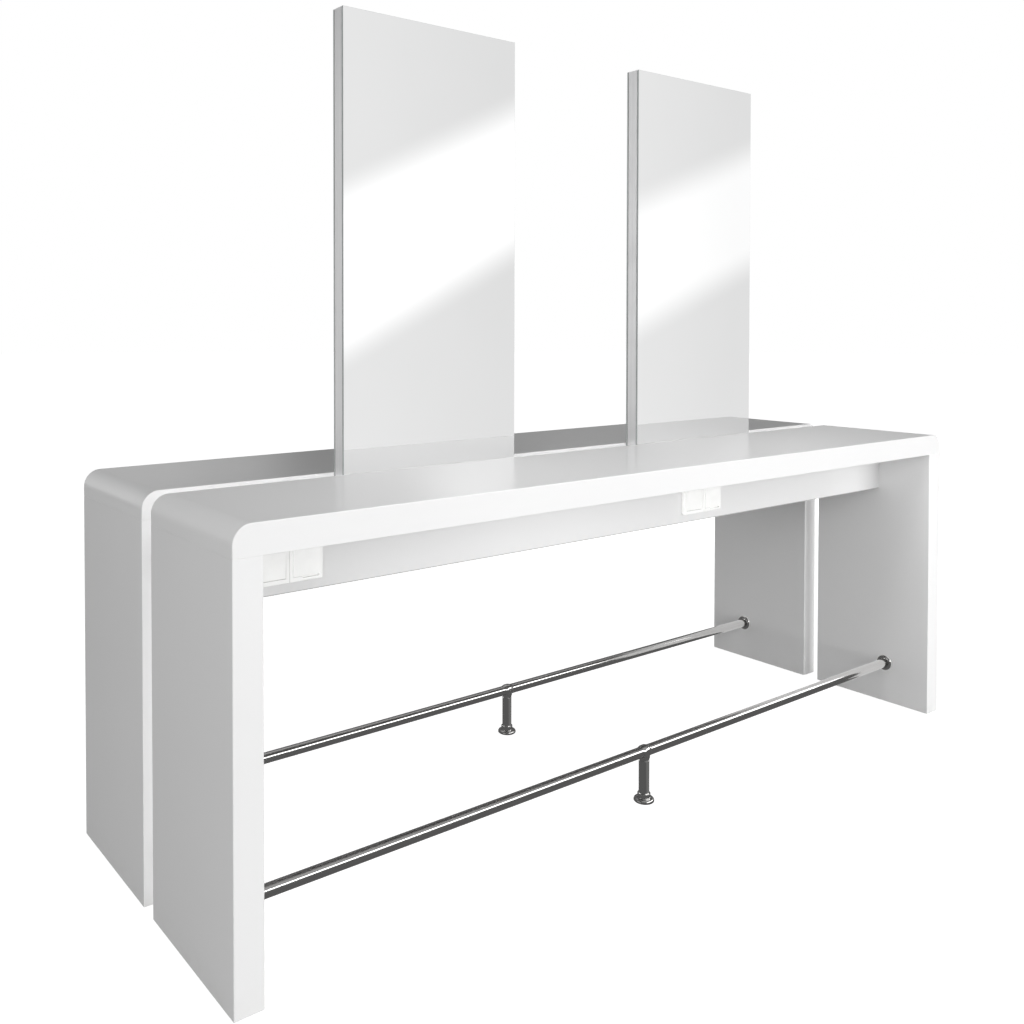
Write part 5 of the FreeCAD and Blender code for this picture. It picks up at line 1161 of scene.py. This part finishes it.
def world():
    w = bpy.data.worlds.new("studio")
    w.use_nodes = True
    scene.world = w
    t = Tree(w.node_tree)
    out = t.add("ShaderNodeOutputWorld")
    d = t.add("ShaderNodeTexCoord").outputs["Generated"]
    xyz = t.add("ShaderNodeSeparateXYZ", {0: d})
    x, y, z = xyz.outputs
    # soft room: brightest in front (-Y), then on the left (-X), dimmer overhead and behind
    front = t.remap(y, 0.5, -0.9, 0.0, 0.72, smooth=True)
    left = t.remap(x, 0.2, -0.9, 0.0, 0.64, smooth=True)
    level = t.math("ADD", t.math("ADD", front, left), 0.12)
    diffuse = t.math("MULTIPLY", level, t.remap(z, 0.15, 0.95, 1.0, 0.22, smooth=True))
    # what gloss sees: a dim even room with a grey ceiling
    gloss = t.remap(z, 0.55, 0.80, 0.17, 0.60, smooth=True)
    path = t.add("ShaderNodeLightPath")
    s = t.add("ShaderNodeMix", {0: path.outputs["Is Glossy Ray"], 2: diffuse, 3: gloss}, data_type="FLOAT").outputs[0]
    s = t.add("ShaderNodeMix", {0: path.outputs["Is Camera Ray"], 2: s, 3: 1.0}, data_type="FLOAT").outputs[0]
    bg = t.add("ShaderNodeBackground", {"Color": (1, 1, 1, 1), "Strength": s})
    t.tree.links.new(bg.outputs[0], out.inputs[0])


def area(name, location, target, size_x, size_y, power, spread=180.0):
    l = bpy.data.lights.new(name, "AREA")
    l.shape = "RECTANGLE"
    l.size, l.size_y = size_x, size_y
    l.energy = power
    l.spread = math.radians(spread)
    ob = bpy.data.objects.new(name, l)
    scene.collection.objects.link(ob)
    ob.location = location
    ob.rotation_mode = "QUATERNION"
    ob.rotation_quaternion = (Vector(target) - Vector(location)).to_track_quat("-Z", "Y")
    ob.visible_camera = False
    return ob


def receivers(light, name, objects, state, blockers=False):
    """Links a light to some objects only, or keeps it off them; or says which ones shade it."""
    c = bpy.data.collections.new(name)
    for o in objects:
        c.objects.link(o)
    if blockers:
        light.light_linking.blocker_collection = c
    else:
        light.light_linking.receiver_collection = c
    for entry in c.collection_objects:
        entry.light_linking.link_state = state


def mirror_card(name, glass, side, x0, z0, slope, again, white):
    """A large pale card that only one pane reflects, with a soft white band across it.  side is
    -1 for a card in front and +1 for one behind, whose band is the front one turned half round.
    white is how much the band adds; again is how strong the card is, along it, in what the slab's gloss shows of the mirror."""
    ob = area(name, (0.0, 3.2 * side, 2.2), (0.0, 0.0, 2.2), 30.0, 9.0, math.pi * 270.0)
    l = ob.data
    l.use_nodes = True
    t = Tree(l.node_tree)
    out = t.add("ShaderNodeOutputLight")
    at = t.add("ShaderNodeNewGeometry").outputs["Position"]
    x, y, z = t.add("ShaderNodeSeparateXYZ", {0: at}).outputs
    along = t.math("MULTIPLY", x, -1.0 if side > 0 else 1.0)
    middle = t.math("MULTIPLY_ADD", t.math("SUBTRACT", along, x0), slope, z0)
    off = t.math("ABSOLUTE", t.math("SUBTRACT", z, middle))
    glow = t.remap(off, 0.28, 0.62, 1.0, 0.0, smooth=True)
    below = t.remap(t.math("SUBTRACT", z, middle), -0.2, -1.6, 0.665, 0.68)
    s = t.math("MULTIPLY_ADD", glow, white, below)
    s = t.math("MULTIPLY", s, t.remap(along, x0 + 0.2, x0 + 1.3, 1.02, 0.93))
    # a softer card in the reflection of a reflection
    depth = t.add("ShaderNodeLightPath").outputs["Ray Depth"]
    soft = again[0][1] - 1.0
    for (xa, va), (xb, vb) in zip(again, again[1:]):
        soft = t.math("ADD", t.remap(along, xa, xb, 0.0, vb - va, smooth=True), soft)
    s = t.math("MULTIPLY", s, t.math("MULTIPLY_ADD", t.remap(depth, 2.4, 2.6, 0.0, 1.0), soft, 1.0))
    em = t.add("ShaderNodeEmission", {"Color": (1, 1, 1, 1), "Strength": s})
    t.tree.links.new(em.outputs[0], out.inputs[0])
    receivers(ob, name + "_glass", [glass], "INCLUDE")
    return ob


stage_floor()
world()
GLASS = PANES
NEAR_GLASS = [(1.2, 0.47), (1.55, 0.47), (2.25, 1.09)]
FAR_GLASS = [(3.7, 0.47), (4.5, 0.63), (5.1, 0.93)]
mirror_card("card_one", GLASS["left_mirror_front_glass"], -1, 1.10, 1.47, 0.49, NEAR_GLASS, 0.40)
mirror_card("card_two", GLASS["right_mirror_front_glass"], -1, 3.60, 1.58, 0.38, FAR_GLASS, 0.27)
mirror_card("card_three", GLASS["right_mirror_rear_glass"], 1, 1.10, 1.47, 0.49, NEAR_GLASS, 0.40)
mirror_card("card_four", GLASS["left_mirror_rear_glass"], 1, 3.60, 1.58, 0.38, FAR_GLASS, 0.27)
for side, names in ((-1.0, ("left_mirror_front_glass", "right_mirror_front_glass")), (1.0, ("left_mirror_rear_glass", "right_mirror_rear_glass"))):
    # what the mirrors see of the floor near the tables
    near = area("floor_card_%s" % ("front" if side < 0 else "rear"), (0.0, 1.6 * side, 0.002), (0.0, 1.6 * side, 1.0), 30.0, 3.15, math.pi * 30.0 * 3.15 * 0.50)
    near.visible_diffuse = False
    receivers(near, near.name + "_on", [GLASS[n] for n in names], "INCLUDE")
strip = area("steel_strip", (1.8, -4.15, 2.6), (-0.7, -0.95, 0.6), 10.0, 1.3, 207.0)
strip.visible_diffuse = False
key = area("front_key", (1.7, -4.6, 0.38), (0.3, 0.0, 0.25), 4.0, 1.2, 197.0)
soft = area("top_soft", (-0.10, -0.62, 2.3), (-0.10, -0.25, 0.87), 1.8, 0.6, 15.5)
gap_top = area("gap_top", (0.3, -5.5, 0.86), (0.0, 0.1, 0.86), 3.0, 0.6, 125.0)
gap_left = area("gap_left", (-1.2, -5.5, 0.5), (-1.2, 0.1, 0.45), 1.0, 1.0, 100.0)
gap_right = area("gap_right", (1.2, -5.5, 0.5), (1.2, 0.1, 0.45), 1.0, 1.0, 46.0)
fill = area("left_fill", (-4.4, -2.4, 1.50), (-1.2, -0.2, 0.5), 1.6, 1.6, 38.0)
apron_key = area("apron_key", (2.2, -4.6, 1.25), (0.6, 0.0, 0.7), 4.0, 1.5, 146.0)
point_key = area("point_key", (-1.4, -4.6, 0.9), (-0.6, 0.0, 0.7), 4.0, 1.5, 34.0)
apron_side = area("apron_side", (-3.4, -1.6, 0.75), (0.0, -0.24, 0.75), 1.2, 0.8, 3.0)
apron_middle = area("apron_middle", (-0.30, -0.9, 0.70), (-0.30, -0.2, 0.76), 0.3, 0.1, 0.17, 100.0)
leg_soft = area("leg_soft", (0.72, -0.62, 0.72), (1.14, -0.33, 0.72), 0.1, 0.1, 0.35)
rear_key = area("rear_key", (0.5, 4.6, 0.5), (0.0, 0.0, 0.5), 3.0, 1.2, 175.0)
rear_key_right = area("rear_key_right", (1.9, 4.5, 0.5), (1.2, 0.0, 0.5), 1.4, 1.2, 160.0)
right_fill = area("right_fill", (4.4, 2.4, 1.05), (1.2, 0.2, 0.5), 1.6, 1.6, 60.0)
rear_strip = area("rear_strip", (-1.8, 4.15, 2.6), (0.7, 0.95, 0.6), 10.0, 1.3, 207.0)
rear_strip.visible_diffuse = False
point_side = area("point_side", (-12.0, -1.2, 0.75), (0.0, -0.25, 0.75), 1.0, 0.5, 700.0)
slit_front = area("slit_front", (0.0, 5.5, 0.90), (0.0, -0.03, 0.86), 3.0, 0.6, 170.0)
for lamp in (slit_front, point_side, key, soft, gap_top, gap_left, gap_right, fill, apron_middle, leg_soft, apron_key, apron_side, point_key, rear_key, rear_key_right, right_fill):
    lamp.visible_glossy = False
POINTS = [o for o in scene.objects if o.name.startswith("front_") and o.name.endswith(("_cover_plate", "_flap_shell", "_rocker_cap", "_socket_insert"))]
APRON = [NODES["front_apron"]] + POINTS
glass = list(GLASS.values())
receivers(strip, "not_on_strip", glass + [NODES["front_top"], NODES["rear_top"]], "EXCLUDE")
receivers(key, "not_on_key", glass + APRON, "EXCLUDE")
receivers(soft, "not_on_soft", glass + [NODES["rear_top"]], "EXCLUDE")
for lamp, name in ((gap_top, "rear_top"), (gap_left, "rear_left_leg"), (gap_right, "rear_right_leg")):
    receivers(lamp, "on_" + lamp.name, [NODES[name]], "INCLUDE")
    receivers(lamp, "shades_" + lamp.name, [NODES[name]], "INCLUDE", blockers=True)
receivers(slit_front, "on_slit_front", [NODES["front_top"]], "INCLUDE")
receivers(slit_front, "shades_slit_front", [NODES["front_top"]], "INCLUDE", blockers=True)
receivers(apron_middle, "on_apron_middle", [NODES["front_apron"]], "INCLUDE")
receivers(leg_soft, "on_leg_soft", [NODES["front_right_leg"]], "INCLUDE")
receivers(fill, "not_on_fill", glass, "EXCLUDE")
receivers(point_key, "on_point_key", POINTS, "INCLUDE")
receivers(point_side, "on_point_side", POINTS, "INCLUDE")
receivers(point_side, "shades_point_side", POINTS, "INCLUDE", blockers=True)
REAR_POINTS = [o for o in scene.objects if o.name.startswith("rear_") and o.name.endswith(("_cover_plate", "_flap_shell", "_rocker_cap", "_socket_insert"))]
receivers(rear_key, "on_rear_key", [NODES["rear_top"], NODES["rear_left_leg"], NODES["rear_apron"]] + REAR_POINTS, "INCLUDE")
receivers(rear_key_right, "on_rear_key_right", [NODES["rear_right_leg"]], "INCLUDE")
receivers(right_fill, "not_on_right_fill", glass, "EXCLUDE")
receivers(rear_strip, "on_rear_strip", [o for o in scene.objects if "_foot_rail_tube" in o.name or o.name.startswith("rail_post_tubes")], "INCLUDE")
receivers(apron_key, "on_apron_key", APRON, "INCLUDE")
receivers(apron_side, "on_apron_side", APRON, "INCLUDE")
TRIMS = TRIM_PIECES
for k in (-1.0, 1.0):
    card = area("trim_card_%s" % ("left" if k < 0 else "right"), (4.0 * k, 1.6, 1.4), (0.0, 0.0, 1.4), 5.0, 3.4, math.pi * 17.0 * 1.08)
    card.visible_diffuse = False
    receivers(card, card.name + "_on", TRIMS, "INCLUDE")
# grazing gloss of the tops: a pale uneven card low behind each one, and one in front for the mirrors' view of them
FRONT_GLOW = [(1.5, 0.20), (3.3, 0.20), (4.3, 0.38), (5.8, 0.35), (8.0, 0.22), (10.2, 0.50), (11.9, 0.45)]
REAR_GLOW = [(1.1, 0.50), (1.8, 0.38), (2.7, 0.0), (4.0, 0.10), (5.8, 0.22), (9.5, 0.14)]
for name, y, k, tall, glow in (("front_top", 6.0, 1.9, 2.8, FRONT_GLOW), ("rear_top", 6.0, 1.9, 2.8, REAR_GLOW), ("front_top", -5.0, 1.42, 0.9, [(0.0, 0.9)]), ("rear_top", -5.0, 3.2, 5.4, [(0.0, 1.5)])):
    card = area("%s_card_%s" % (name, "behind" if y > 0 else "ahead"), (0.0, y, k), (0.0, 0.0, k), 60.0, tall, math.pi * 60.0 * tall)
    card.data.use_nodes = True
    t = Tree(card.data.node_tree)
    out = t.add("ShaderNodeOutputLight")
    x = t.add("ShaderNodeSeparateXYZ", {0: t.add("ShaderNodeNewGeometry").outputs["Position"]}).outputs[0]
    level = glow[0][1]
    for (x0, v0), (x1, v1) in zip(glow, glow[1:]):
        level = t.math("ADD", t.remap(x, x0, x1, 0.0, v1 - v0, smooth=True), level)
    em = t.add("ShaderNodeEmission", {"Color": (1, 1, 1, 1), "Strength": level})
    t.tree.links.new(em.outputs[0], out.inputs[0])
    card.visible_diffuse = False
    receivers(card, card.name + "_on", [NODES[name]], "INCLUDE")
# and what the rails and their end covers see beside them: the pale legs
RAILS = [o for o in scene.objects if "_foot_rail_tube" in o.name or o.name.startswith("rail_end_cover_domes")]
for k in (-1.0, 1.0):
    card = area("leg_card_%s" % ("left" if k < 0 else "right"), (1.1395 * k, 0.0, 0.40), (0.0, 0.0, 0.40), 0.80, 0.80, math.pi * 0.64 * 0.50)
    card.visible_diffuse = False
    receivers(card, card.name + "_on", RAILS, "INCLUDE")

# what the posts see of the floor on their right is a little lighter
post_card = area("post_card", (0.36, -0.26, 0.001), (0.36, -0.26, 1.0), 0.7, 1.1, math.pi * 0.77 * 0.10)
post_card.visible_diffuse = False
receivers(post_card, "on_post_card", [o for o in scene.objects if o.name.startswith("rail_post_tubes")], "INCLUDE")
